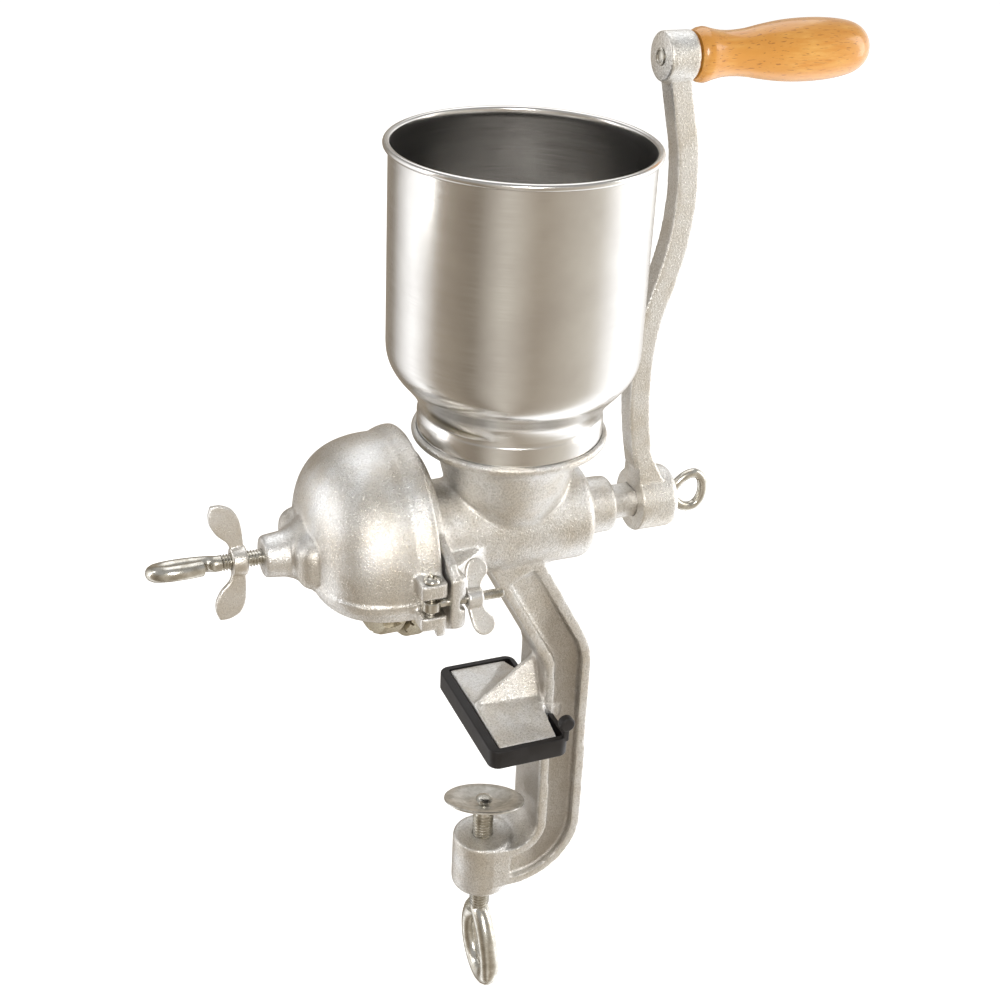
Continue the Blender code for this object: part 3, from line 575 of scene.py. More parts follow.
# %% [markdown]
# ## The hopper
#
# A disc of tinplate is spun over a former: a rolled wire rim, a straight wall, a shoulder that turns in
# under it, a waist, and a plain collar that drops into the cup. Spinning leaves a perfectly round
# shell, so it is turned here from one closed profile of the sheet, outside and inside.

# %% Hopper
HOPPER_R = 63.1
SHEET = 0.9


def hopper_shell():
    wall = [(HOPPER_R, 194.6), (HOPPER_R, 104), *smooth(
        [(HOPPER_R, 100), (62.7, 95.6), (61.2, 90.6), (58, 85.2), (53.8, 80.2), (49.8, 75),
         (47.3, 70.2), (46.1, 66.4)], 4), (46.1, 65.2), (46.7, 64), (COLLAR_R, 63.2),
        (COLLAR_R, CUP_SEAT + 0.4)]
    inside = [(r - SHEET, h + (SHEET * 0.4 if h < 100 else 0)) for r, h in wall[:-1]]
    rim = arc(63.9, 198.2, 1.75, -115, 170, 12)
    profile = [*rim[::-1], *wall, (COLLAR_R - SHEET, CUP_SEAT + 0.4), *inside[::-1]]
    return turned("spun_hopper", profile, steps=160, ring=True)


spun_hopper = hopper_shell()
print("hopper:", len(spun_hopper.data.polygons), "faces")

# %% [markdown]
# ## The worm and the burrs
#
# The worm draws the grain out of the throat and pushes it between two slotted iron plates. The fixed
# plate is held to the flange by three countersunk screws. The turning one is pinned to the auger's
# shaft, and its scalloped edge shows below the hood. The flight is one slanted rectangle swept along a
# helix, and the plates are turned and then cut with radial slots, as a mould maker cuts the pattern.

# %% Worm auger
WORM_PITCH = 27
FLIGHT_TURNS = 3.1
FLIGHT_START = -53
DRIVE_PIN_X = -82.6


def worm():
    core = turned("worm_shaft", [
        (0, 90), (SHAFT_R - 1, 90), (SHAFT_R, 89), (SHAFT_R, 36.4), (10.5, 35), (10.5, -54),
        (SHAFT_R, -55.6), (SHAFT_R, -88.2), (0, -88.2)], "X")
    corners = [(7.5, 0), (19, 1.4), (19, 3.1), (7.5, 4.5), (7.5, 0)]
    base = place((0, 0, 0))
    flight = trace("flight", [base + Vector((h + FLIGHT_START, 0, r)) * MM for r, h in corners])
    bpy.ops.mesh.remove_doubles(threshold=0.000001)
    bpy.ops.object.mode_set(mode="OBJECT")
    flight.data.transform(Matrix.Translation(-base))
    apply(flight, "SCREW", axis="X", angle=2 * math.pi * FLIGHT_TURNS, iterations=1, steps=200,
          render_steps=200, screw_offset=WORM_PITCH * FLIGHT_TURNS * MM)
    flight.data.transform(Matrix.Translation(base))
    pick(flight)
    bpy.ops.object.mode_set(mode="EDIT")
    bpy.ops.mesh.fill_holes(sides=0)
    close_up(flight)
    weld(core, flight)
    for low, high in ((7.6, 16), (-16, -7.6)):
        carve(core, block("flat", (60.5, -14, low), (92, 14, high)))
    return carve(core, rod("pin_hole", 2.3, -30, 30, "Y", (DRIVE_PIN_X, 0, 0)),
                 rod("screw_hole", 2.95, 78, 96), rod("ball_seat", 4.6, -90, -86.2))


worm_shaft = worm()
worm_shaft.name = "worm_and_shaft"
print("worm:", len(worm_shaft.data.polygons), "faces")


# %% Burrs
def slots(face, inner, outer, count, skew):
    """Cutters for radial slots; skew leans them off the centre, so that facing edges shear the grain."""
    cutters = []
    for i in range(count):
        tooth = block("slot", (face - 1.3, inner, skew - 1.3), (face + 1.3, outer, skew + 1.3))
        cutters.append(turn(tooth, 360 * i / count, "X", (0, 0, 0)))
    return cutters


def fixed_burr():
    r, face = 51.2, -65
    plate = turned("fixed_burr", [(r - 2, COVER_RIM), (r, -57), (r, -62.6), (r - 2.4, face),
                                  (34, face), (30, face + 1.6), (22, face + 4), (22, COVER_RIM)], "X",
                   ring=True)
    carve(plate, *slots(face, 35, 55, 24, 3))
    for y, z in burr_screw_places():
        carve(plate, turned("sink", [(0, -54), (2.3, -54), (2.3, -61.6), (4.1, -63.4), (4.1, -66.5),
                                     (0, -66.5)], "X", (0, y, z), 32))
    return plate


def turning_burr():
    r, face = 48.2, -65.8
    plate = turned("turning_burr", [
        (r - 2.4, face), (r, -68.2), (r, -75.6), (r - 0.8, -77.6), (r - 3, -78.8), (24, -79),
        (19, -79.8), (17, -81.6), (16, -86), (SHAFT_R + 0.3, -86), (SHAFT_R + 0.3, face)], "X",
        ring=True)
    carve(plate, *slots(face, 34, 52, 24, -3))
    for angle in (40, 130, 220, 310):
        rib = block("rib", (-79.2, -4.4, 20), (-75, 4.4, 44), 1.4)
        weld(plate, turn(rib, angle, "X", (0, 0, 0)))
    for angle in range(15, 375, 36):
        groove = rod("groove", 3.6, -84, -69.5, at=(0, 0, 48.6), steps=24, chamfer=3.4)
        carve(plate, turn(groove, angle, "X", (0, 0, 0)))
    return carve(plate, rod("pin_hole", 2.3, -30, 30, "Y", (DRIVE_PIN_X, 0, 0)))


def burr_screws():
    screws = []
    for i, (y, z) in enumerate(burr_screw_places()):
        screw = turned(f"burr_screw_turned_{i + 1}", [(0, -50), (1.6, -50), (2, -50.6), (2, -61.7),
                                                      (3.8, -63.5), (3.8, -64.4), (0, -64.4)],
                       "X", (0, y, z), 32)
        screws.append(carve(screw, block("driver_slot", (-65, y - 5, z - 0.5), (-63.4, y + 5, z + 0.5))))
    return screws


fixed_plate = fixed_burr()
turning_plate = turning_burr()
plate_screws = burr_screws()
drive_pin = rod("drive_pin", 2, -15.5, 15.5, "Y", (DRIVE_PIN_X, 0, 0), 32, 0.4)
print("burrs:", len(fixed_plate.data.polygons), "and", len(turning_plate.data.polygons), "faces")

# %% [markdown]
# ## The adjusting screw
#
# A long screw bears on a steel ball at the auger's end and sets how far apart the burrs stand. It is a
# round bar, bent into an eye and threaded, so the eye is a bent curve and the thread is a real helix.
# The wings of its lock nut are pressed leaf shapes, cast on a short hub.

# %% Adjusting screw, ball and lock nut
SCREW_R = 4


def thrust_ball():
    """A bearing ball, with the two small flats that the auger and the screw wear on it."""
    half = arc(0, -90.6, 4, 90, -90, 28)
    worn = [(r, min(max(h, -94.5), -86.7)) for r, h in half[1:-1]]
    return turned("steel_ball", [(0, -86.7), *worn, (0, -94.5)], "X", steps=40)


def eye_screw():
    route = eye_path(-150, -153, -183, 8.2, 4)
    bar = bent("eye_screw", [(x, y, 0) for x, y in route], SCREW_R)
    weld(bar, rod("screw_core", SCREW_R - 0.62, -151.5, -94.9, chamfer=0.6))
    weld(bar, thread("screw_thread", SCREW_R + 0.15, 1.5, -150.6, -96, "X"))
    return turn(bar, -20, "X", (0, 0, 0))


def lock_nut():
    nut = turned("lock_nut", [(0, -137.4), (6.9, -137.4), (7.6, -138.2), (7.5, -141), (7.1, -144.4),
                              (6.5, -145), (0, -145)], "X", steps=64)
    leaf = smooth([(-144.6, 5), (-146.4, 10), (-151, 14.5), (-154, 20), (-154.4, 25)], 4)
    leaf += smooth([(-152.9, 29.4), (-148, 29.4), (-142.6, 26.8), (-139.6, 21.5), (-138.6, 14),
                    (-138.4, 5)], 4)
    wings = [prism("wing", [(x, side * r) for x, r in leaf], -1.7, 1.7) for side in (-1, 1)]
    nut = cast("wing_lock_nut", [nut, *wings], 0.45, 5, 0.6)
    carve(nut, rod("nut_bore", SCREW_R + 0.35, -150, -130))
    return turn(nut, -11, "X", (0, 0, 0))


steel_ball = thrust_ball()
adjusting_eye_screw = eye_screw()
wing_lock_nut = lock_nut()
print("adjusting screw:", len(adjusting_eye_screw.data.polygons), "faces")

# %% [markdown]
# ## The swing bolts
#
# One on each side holds the cover to the housing. A bolt with a flat eye swings on a cross-head screw
# between the cover's ears and drops into the lug's slot, where a cast wing nut draws it tight. The
# same three functions make the gear of each side, and a side of -1 or 1 carries it across.

# %% Swing bolts, pivot screws and wing nuts
WING_TURN = 30


def pivot_screw(side, name):
    at = (PIVOT_X, side * PIVOT_Y, 0)
    head = arc(0, 8.9, 4.3, 0, 75, 8)
    profile = [(0, 11.6), *[(r, 8.9 + (h - 8.9) * 0.62) for r, h in head[::-1]], (4.3, 8.9),
               (2.2, 8.9), (2.2, -17), (1.8, -17.5), (0, -17.5)]
    screw = turned(name, profile, "Z", at, 40)
    for wide, deep in ((2.3, 0.45), (0.45, 2.3)):
        low = (PIVOT_X - wide, side * PIVOT_Y - deep, 10.2)
        high = (PIVOT_X + wide, side * PIVOT_Y + deep, 13)
        carve(screw, block("cross", low, high))
    return screw


def swing_bolt(side, name):
    at = (PIVOT_X, side * PIVOT_Y, BOLT_Z)
    line = (0, side * PIVOT_Y, BOLT_Z)
    bolt = turned(name, [(0, 2.6), (4.2, 2.6), (4.6, 2.2), (4.6, -2.2), (4.2, -2.6), (0, -2.6)],
                  "Z", at, 48)
    weld(bolt, rod("shank", 2.25, PIVOT_X + 3, -25, at=line, chamfer=0.4))
    weld(bolt, thread("bolt_thread", 2.5, 0.8, -48, -25.4, "X", line))
    return carve(bolt, rod("eye", 2.5, -10, 10, "Z", at, 32))


def swing_nut(side, name):
    nut = turned("nut", [(0, -36), (3.8, -36), (4.8, -37), (5.1, -43.4), (4.5, -44.4), (0, -44.4)],
                 "X", steps=48)
    leaf = smooth([(-44, 2.5), (-43.8, 6), (-43.4, 9.6), (-42.2, 15), (-39.4, 18.4), (-35.4, 18.6),
                   (-32, 15.6), (-31.8, 11.4), (-34.4, 8.4), (-36, 5.6), (-36.6, 2.5)], 4)
    wings = [prism("wing", [(x, up * r) for x, r in leaf], -1.5, 1.5) for up in (-1, 1)]
    nut = cast(name, [nut, *wings], 0.4, 5, 0.6)
    carve(nut, rod("nut_bore", 2.8, -50, -30, steps=32))
    turn(nut, side * WING_TURN, "X", (0, 0, 0))
    return shift(nut, (0, side * PIVOT_Y, BOLT_Z))


swing_gear = {}
for word, side in (("near", -1), ("far", 1)):
    swing_gear[word] = (pivot_screw(side, f"{word}_pivot_screw"), swing_bolt(side, f"{word}_swing_bolt"),
                        swing_nut(side, f"{word}_wing_nut"))
print("swing bolts:", [len(piece.data.polygons) for piece in swing_gear["near"]], "faces")

# %% [markdown]
# ## The crank
#
# An iron arm bows in towards the hopper's neck and out past its rim, with a channel down its face, a hub
# with two flats that fits the shaft, and a boss for the grip's pin. It is cast like the housing. The
# eye screw pulls the hub on to the shaft. The grip is turned from one piece of hardwood.

# %% Crank arm
HUB_LEFT = 72.65
HUB_RIGHT = 95
HUB_R = 17
ARM_WIDTH = 11.4
ARM_DEPTH = 12


def arm_line():
    return smooth([(80, 6), (77, 19), (73, 40), (70.6, 62), (70.6, 84), (73.2, 105), (79.6, 127),
                   (84.2, 147), (85.8, 168), (84.4, 190), (81, 206), (77.4, 222), (75.4, 232)], 5)


def crank():
    line = arm_line()
    arm = prism("arm", ribbon(line, ARM_WIDTH / 2, ARM_WIDTH / 2), -ARM_DEPTH / 2, ARM_DEPTH / 2)
    carve(arm, prism("channel", ribbon(line[9:-8], 6.9, 3.9 - ARM_WIDTH), -2.8, 2.8))
    hub = turned("hub", [(0, HUB_RIGHT), (13, HUB_RIGHT), (15.6, 94), (HUB_R, 91.6),
                         (HUB_R, HUB_LEFT + 0.6), (HUB_R - 0.6, HUB_LEFT), (0, HUB_LEFT)], "X")
    top = turned("top_boss", [(0, 83), (10.8, 83), (11.8, 82), (11.8, 68), (11, 67.2), (0, 67.2)],
                 "X", (0, 0, GRIP_Z))
    root = hull("arm_root", [(x, y, z) for x, y, z in (
        (70.4, -6, 34), (70.4, 6, 34), (77.6, -6, 34), (77.6, 6, 34), (73.4, -10.6, 12),
        (73.4, 10.6, 12), (88, -10.6, 12), (88, 10.6, 12))])
    iron = cast("crank_casting", [arm, hub, top, root], 0.7, 7, 0.55)
    bore = rod("hub_bore", SHAFT_R + 0.3, HUB_LEFT - 3, 90.4)
    for low, high in ((7.9, 16), (-16, -7.9)):
        carve(bore, block("flat", (60.5, -14, low), (92, 14, high)))
    return carve(iron, bore, rod("hub_screw_hole", 2.95, 88, 98), rod("pin_bore", 3.3, 60, 90,
                                                                      at=(0, 0, GRIP_Z)),
                 block("hub_facing", (60, -30, -30), (HUB_LEFT + 0.1, 30, 22)),
                 block("boss_facing", (60, -30, GRIP_Z - 11), (67.3, 30, GRIP_Z + 30)))


crank_casting = crank()
print("crank:", len(crank_casting.data.polygons), "faces")


# %% Eye screw, pin, washer and grip
def hub_eye_screw():
    route = eye_path(96.5, 98.5, 117, 11.4, 2.65)
    bar = bent("hub_eye_screw", [(x, 0, z) for x, z in route], 2.6)
    weld(bar, rod("core", 2.2, 80, 98, chamfer=0.4))
    return weld(bar, thread("thread", 2.6, 0.9, 80.6, 97, "X"))


def rivet_pin():
    """The grip's pin; its inner end is riveted over, which leaves a ring and a dimple."""
    return turned("riveted_pin", [(0, 164), (2.4, 164), (3, 163), (3, 66.9), (4.2, 66.9),
                                  (3.9, 66.5), (3, 66.42), (2.6, 66.7), (1.6, 66.45), (0, 66.4)],
                  "X", (0, 0, GRIP_Z), 48)


def grip():
    belly = smooth([(0, 179), (4.4, 178.5), (8.6, 176.2), (11.8, 171.4), (13.6, 164.6), (14.7, 155),
                    (15, 144), (14.4, 132), (12.9, 121), (11.3, 112), (10.7, 104), (11, 98),
                    (12.1, 92.4)], 5)
    return turned("turned_grip", [*belly, (12.8, 90), (13, 88.6), (12.6, 86.4), (11.9, 84.9),
                                  (11.2, 84), (3.4, 84), (3.4, 166), (0, 166)],
                  "X", (0, 0, GRIP_Z), 96)


eye_lock_screw = hub_eye_screw()
riveted_pin = rivet_pin()
turned_grip = grip()
pin_washer = turned("pin_washer", [(6.6, 83.8), (6.6, 83.2), (3.3, 83.2), (3.3, 83.8)], "X",
                    (0, 0, GRIP_Z), 48, True)
print("grip:", len(turned_grip.data.polygons), "faces")

# %% [markdown]
# ## The clamp
#
# The screw is a threaded bar with its lower end bent into an eye that leans to the near side. Its upper
# end is turned down, passed through a dished disc and peened over, so the disc stays on and tilts.
# A soft boot covers the upper jaw: a moulded tray with a knob on a short strap.

# %% Clamp screw, washer and disc
DISC_TOP = -184.5
DISC_R = 23.2
DISC_TILT = 18
DISC_HEADING = 66.8


def clamp_screw():
    neck, tip, lean = -267, -310, -9
    points = []
    for z, y in eye_path(-263, neck, tip, 17, 5.5):
        along = max((z - neck) / (tip - neck), 0)
        points.append((CLAMP_X, lean * along ** 1.5 - y, z))
    bar = bent("clamp_eye_screw", points, 5.5)
    at = (CLAMP_X, 0, 0)
    weld(bar, rod("core", 5, -266, -192, "Z", at, chamfer=0.6))
    weld(bar, thread("thread", CLAMP_R - 0.02, 2, -264, -193.4, "Z", at))
    return weld(bar, turned("peened_end", [
        (0, -183.4), (1.6, -183.2), (3.6, -183.5), (4.8, -184.3), (4.9, -185), (3.1, -185.6),
        (3.1, -193.4), (0, -193.4)], at=at, steps=48))


def dished_disc():
    lip, top = DISC_R, DISC_TOP - DISC_Z
    disc = turned("dished_disc", [(r, h) for r, h in (
        (lip - 0.5, top), (lip, top - 0.4), (lip, top - 1.2), (lip - 0.5, top - 1.6), (19.4, top - 1.6),
        (17.4, top - 1.9), (10.6, -0.6), (8.6, -0.8), (3.8, -0.8), (3.8, 0.8), (8.8, 0.8), (11, 1),
        (17.8, top - 0.4), (19.6, top))], at=(CLAMP_X, 0, DISC_Z), ring=True)
    heading = math.radians(DISC_HEADING)
    axis = (-math.sin(heading), math.cos(heading), 0)
    middle = place((CLAMP_X, 0, DISC_Z))
    tilt = Matrix.Rotation(math.radians(DISC_TILT), 4, axis)
    pick(disc)
    disc.matrix_world = Matrix.Translation(middle) @ tilt @ Matrix.Translation(-middle)
    bpy.ops.object.transform_apply(location=True, rotation=True, scale=True)
    return disc


clamp_eye_screw = clamp_screw()
clamp_pad = dished_disc()
clamp_ring = turned("clamp_ring", [(5.4, -191), (5.4, -191.6), (3.4, -191.6), (3.4, -191)],
                    at=(CLAMP_X, 0, 0), steps=48, ring=True)
print("clamp screw:", len(clamp_eye_screw.data.polygons), "faces")


# %% Rubber boot
def boot():
    outline = []
    for x, y, start in ((21.6, 36.5, 0), (-12.3, 36.5, 90), (-12.3, -36.5, 180), (21.6, -36.5, 270)):
        outline += arc(x, y, 6, start, start + 90, 8)
    tray = prism("boot", outline, JAW_Z, -118, "XY")
    apply(tray, "BEVEL", width=0.9 * MM, segments=3, limit_method="ANGLE", angle_limit=0.8)
    carve(tray, block("pocket", (-13, -39, -124.5), (24.6, 39, -105), 1.6, 3),
          block("leg_notch", (21.5, -18.6, -132), (30, 18.6, -105)))
    strap = block("strap", (23.6, -41.6, -121), (27.2, -39.4, -109), 0.8)
    knob = turned("knob", [(0, -37.4), (2.6, -37.4), *arc(3, -38.8, 1.3, 90, 0, 5),
                           *arc(3, -41.6, 1.3, 0, -90, 5), (0, -42.9)], "Y", (25.4, 0, -109.4), 48)
    return weld(tray, strap, knob)


rubber_boot = boot()
print("boot:", len(rubber_boot.data.polygons), "faces")


# %% [markdown]
# ## Finishes
#
# One function turns a hex colour into the linear values that the shader wants, and one adds a node with
# its settings and links. Patterns read Object coordinates in metres, so a pattern's scale is one over
# the real size of its grain.

# %% Node helpers
def hex_colour(code):
    """An sRGB hex colour as linear red, green, blue and alpha."""
    values = [int(code[i:i + 2], 16) / 255 for i in (1, 3, 5)]
    return (*[v / 12.92 if v <= 0.04045 else ((v + 0.055) / 1.055) ** 2.4 for v in values], 1)


def per_mm(size):
    """Noise scale for a grain of so many millimetres."""
    return 1 / (size * MM)


def add_node(tree, kind, inputs, **settings):
    """Adds a node: settings are its properties, inputs are values or the sockets that feed it."""
    made = tree.nodes.new(kind)
    for key, value in settings.items():
        setattr(made, key, value)
    for key, value in inputs.items():
        if isinstance(value, bpy.types.NodeSocket):
            tree.links.new(value, made.inputs[key])
        else:
            made.inputs[key].default_value = value
    return made


def start_finish(name):
    """A new material, its tree, its shader and the piece's own coordinates."""
    material = bpy.data.materials.new(name)
    material.use_nodes = True
    tree = material.node_tree
    shader = tree.nodes["Principled BSDF"]
    coordinates = add_node(tree, "ShaderNodeTexCoord", {})
    return material, tree, shader, coordinates.outputs["Object"]


# %% [markdown]
# ### Tinned cast iron
#
# Sand-cast iron, tumbled and hot-tinned. The tin is a warm, bright silver that follows the sand's grain,
# so the skin sparkles in small facets of about a millimetre instead of showing a clear reflection. The
# leg's recesses and its inner side are painted a darker grey-brown, as painted shade.

# %% Tinned cast iron
def painted_recess_shade(tree, spot):
    """Share of painted shade, a darker grey-brown: 1 in the recesses and on the inside of the leg, 0
    everywhere else.
    """
    split = add_node(tree, "ShaderNodeSeparateXYZ", {"Vector": spot})
    off_middle = add_node(tree, "ShaderNodeMath", {0: split.outputs["Y"]}, operation="ABSOLUTE")
    deep = add_node(tree, "ShaderNodeMapRange", {0: off_middle.outputs[0], 1: 0.0145, 2: 0.0165, 3: 1,
                                                 4: 0})
    behind = add_node(tree, "ShaderNodeMapRange", {0: split.outputs["X"], 1: 0.018, 2: 0.028})
    below = add_node(tree, "ShaderNodeMapRange", {0: split.outputs["Z"], 1: 0.07, 2: 0.1, 3: 0.6, 4: 0})
    where = add_node(tree, "ShaderNodeMath", {0: deep.outputs[0], 1: behind.outputs[0]},
                     operation="MULTIPLY")
    share = add_node(tree, "ShaderNodeMath", {0: where.outputs[0], 1: below.outputs[0]},
                     operation="MULTIPLY")
    return share.outputs[0]


def tinned_iron(name, light, dark, grain, depth, roughness):
    material, tree, shader, spot = start_finish(name)
    fine = add_node(tree, "ShaderNodeTexNoise", {"Vector": spot, "Scale": per_mm(grain), "Detail": 3,
                                                 "Roughness": 0.7})
    pools = add_node(tree, "ShaderNodeTexNoise", {"Vector": spot, "Scale": per_mm(18), "Detail": 4})
    skin = add_node(tree, "ShaderNodeTexNoise", {"Vector": spot, "Scale": per_mm(4.5), "Detail": 2})
    tone = add_node(tree, "ShaderNodeMapRange", {0: fine.outputs["Fac"], 1: 0.3, 2: 0.55})
    cloud = add_node(tree, "ShaderNodeMapRange", {0: pools.outputs["Fac"], 1: 0.35, 2: 0.65})
    speckled = add_node(tree, "ShaderNodeMix", {0: tone.outputs[0], 6: hex_colour(dark),
                                                7: hex_colour(light)}, data_type="RGBA")
    stained = add_node(tree, "ShaderNodeMix", {0: cloud.outputs[0], 6: hex_colour("#EEE9E1"),
                                               7: hex_colour("#FFFFFF")}, data_type="RGBA")
    toned = add_node(tree, "ShaderNodeMix", {0: 1.0, 6: speckled.outputs[2], 7: stained.outputs[2]},
                     data_type="RGBA", blend_type="MULTIPLY")
    # Painted shade: the leg's recesses are mixed towards a dark grey-brown.
    recess_shaded = add_node(tree, "ShaderNodeMix", {0: painted_recess_shade(tree, spot), 6: toned.outputs[2],
                                              7: hex_colour("#8E857A")}, data_type="RGBA")
    tree.links.new(recess_shaded.outputs[2], shader.inputs["Base Color"])
    shine = add_node(tree, "ShaderNodeMapRange", {0: fine.outputs["Fac"], 1: 0.3, 2: 0.7,
                                                  3: roughness + 0.1, 4: roughness - 0.1})
    tree.links.new(shine.outputs[0], shader.inputs["Roughness"])
    waves = add_node(tree, "ShaderNodeBump", {"Height": skin.outputs["Fac"], "Strength": 0.3,
                                              "Distance": 0.35 * MM})
    bumps = add_node(tree, "ShaderNodeBump", {"Height": fine.outputs["Fac"], "Strength": 1.0,
                                              "Distance": depth * MM, "Normal": waves.outputs["Normal"]})
    tree.links.new(bumps.outputs["Normal"], shader.inputs["Normal"])
    shader.inputs["Metallic"].default_value = 1
    return material


housing_tin = tinned_iron("tinned_housing_iron", "#F4F4F4", "#CFCECB", 1.1, 0.42, 0.34)
cover_tin = tinned_iron("tinned_cover_iron", "#F6F6F6", "#D6D5D3", 1.0, 0.34, 0.32)
crank_tin = tinned_iron("tinned_crank_iron", "#F8F8F7", "#D6D5D2", 1.0, 0.36, 0.33)
small_tin = tinned_iron("tinned_wing_iron", "#F8F8F8", "#DAD9D7", 0.8, 0.16, 0.34)
burr_iron = tinned_iron("ground_burr_iron", "#D9D2BE", "#9A927F", 0.9, 0.16, 0.4)

# %% [markdown]
# ### Spun tinplate
#
# The wheel and the spinning stick leave rings finer than a tenth of a millimetre round the hopper, which
# draw every reflection out into an upright streak. That is anisotropic gloss with its tangent round the
# axis. The rings are drawn about 0.5 mm apart so that they just show.

# %% Spun tinplate
def spun_tinplate():
    material, tree, shader, spot = start_finish("spun_tinplate")
    rings = add_node(tree, "ShaderNodeMapping", {"Vector": spot, "Scale": (30, 30, per_mm(0.5))})
    lines = add_node(tree, "ShaderNodeTexNoise", {"Vector": rings.outputs["Vector"], "Scale": 1,
                                                  "Detail": 2})
    cloud = add_node(tree, "ShaderNodeTexNoise", {"Vector": spot, "Scale": per_mm(26), "Detail": 3})
    speck = add_node(tree, "ShaderNodeTexNoise", {"Vector": spot, "Scale": per_mm(0.9), "Detail": 2})
    tone = add_node(tree, "ShaderNodeMapRange", {0: cloud.outputs["Fac"], 1: 0.35, 2: 0.65})
    colour = add_node(tree, "ShaderNodeMix", {0: tone.outputs[0], 6: hex_colour("#DAD8D6"),
                                              7: hex_colour("#E4E3E1")}, data_type="RGBA")
    tree.links.new(colour.outputs[2], shader.inputs["Base Color"])
    shine = add_node(tree, "ShaderNodeMapRange", {0: lines.outputs["Fac"], 1: 0.3, 2: 0.7, 3: 0.15,
                                                  4: 0.22})
    tree.links.new(shine.outputs[0], shader.inputs["Roughness"])
    shader.inputs["Metallic"].default_value = 1
    shader.inputs["Anisotropic"].default_value = 0.75
    tangent = add_node(tree, "ShaderNodeTangent", {}, direction_type="RADIAL", axis="Z")
    tree.links.new(tangent.outputs["Tangent"], shader.inputs["Tangent"])
    fine = add_node(tree, "ShaderNodeBump", {"Height": lines.outputs["Fac"], "Strength": 0.25,
                                             "Distance": 0.03 * MM})
    bumps = add_node(tree, "ShaderNodeBump", {"Height": speck.outputs["Fac"], "Strength": 0.2,
                                              "Distance": 0.03 * MM, "Normal": fine.outputs["Normal"]})
    tree.links.new(bumps.outputs["Normal"], shader.inputs["Normal"])
    return material


hopper_tin = spun_tinplate()

# %% [markdown]
# ### Zinc plate, wood and rubber
#
# The screws are drawn bar with bright zinc plating: smoother than the castings, with soft clouds and a
# faint yellow passivation. The grip is beech under amber varnish, with its grain along the axis and
# pores about 0.6 mm wide. The boot is moulded rubber, nearly black, with a dusty bloom.

# %% Zinc plating
def zinc(name, light, dark, roughness):
    material, tree, shader, spot = start_finish(name)
    cloud = add_node(tree, "ShaderNodeTexNoise", {"Vector": spot, "Scale": per_mm(5), "Detail": 5,
                                                  "Roughness": 0.6})
    fine = add_node(tree, "ShaderNodeTexNoise", {"Vector": spot, "Scale": per_mm(0.6), "Detail": 2})
    tone = add_node(tree, "ShaderNodeMapRange", {0: cloud.outputs["Fac"], 1: 0.35, 2: 0.65})
    colour = add_node(tree, "ShaderNodeMix", {0: tone.outputs[0], 6: hex_colour(dark),
                                              7: hex_colour(light)}, data_type="RGBA")
    tree.links.new(colour.outputs[2], shader.inputs["Base Color"])
    shine = add_node(tree, "ShaderNodeMapRange", {0: cloud.outputs["Fac"], 1: 0.35, 2: 0.65,
                                                  3: roughness + 0.1, 4: roughness - 0.05})
    tree.links.new(shine.outputs[0], shader.inputs["Roughness"])
    bumps = add_node(tree, "ShaderNodeBump", {"Height": fine.outputs["Fac"], "Strength": 0.3,
                                              "Distance": 0.05 * MM})
    tree.links.new(bumps.outputs["Normal"], shader.inputs["Normal"])
    shader.inputs["Metallic"].default_value = 1
    return material


bright_zinc = zinc("bright_zinc_plate", "#E6E4DE", "#BAB5A9", 0.22)
dull_zinc = zinc("dull_zinc_plate", "#EEECE8", "#C4C1B9", 0.34)


# %% Varnished beech
def varnished_beech():
    material, tree, shader, spot = start_finish("amber_varnished_beech")
    along = add_node(tree, "ShaderNodeMapping", {"Vector": spot, "Scale": (0.12, 1, 1)})
    grain = add_node(tree, "ShaderNodeTexNoise", {"Vector": along.outputs["Vector"],
                                                  "Scale": per_mm(2.2), "Detail": 5, "Roughness": 0.6})
    cloud = add_node(tree, "ShaderNodeTexNoise", {"Vector": spot, "Scale": per_mm(24), "Detail": 3})
    pores = add_node(tree, "ShaderNodeTexNoise", {"Vector": along.outputs["Vector"],
                                                  "Scale": per_mm(0.6), "Detail": 1})
    tone = add_node(tree, "ShaderNodeMapRange", {0: grain.outputs["Fac"], 1: 0.35, 2: 0.68})
    drift = add_node(tree, "ShaderNodeMapRange", {0: cloud.outputs["Fac"], 1: 0.4, 2: 0.65})
    wood = add_node(tree, "ShaderNodeMix", {0: tone.outputs[0], 6: hex_colour("#D08A30"),
                                            7: hex_colour("#E3AC58")}, data_type="RGBA")
    amber = add_node(tree, "ShaderNodeMix", {0: drift.outputs[0], 6: wood.outputs[2],
                                             7: hex_colour("#D4923A")}, data_type="RGBA")
    spots = add_node(tree, "ShaderNodeMapRange", {0: pores.outputs["Fac"], 1: 0.64, 2: 0.7, 3: 0,
                                                  4: 0.6})
    colour = add_node(tree, "ShaderNodeMix", {0: spots.outputs[0], 6: amber.outputs[2],
                                              7: hex_colour("#8A4A12")}, data_type="RGBA")
    tree.links.new(colour.outputs[2], shader.inputs["Base Color"])
    shader.inputs["Roughness"].default_value = 0.36
    shader.inputs["Coat Weight"].default_value = 0.8
    shader.inputs["Coat Roughness"].default_value = 0.14
    bumps = add_node(tree, "ShaderNodeBump", {"Height": grain.outputs["Fac"], "Strength": 0.15,
                                              "Distance": 0.1 * MM})
    tree.links.new(bumps.outputs["Normal"], shader.inputs["Normal"])
    return material


grip_wood = varnished_beech()


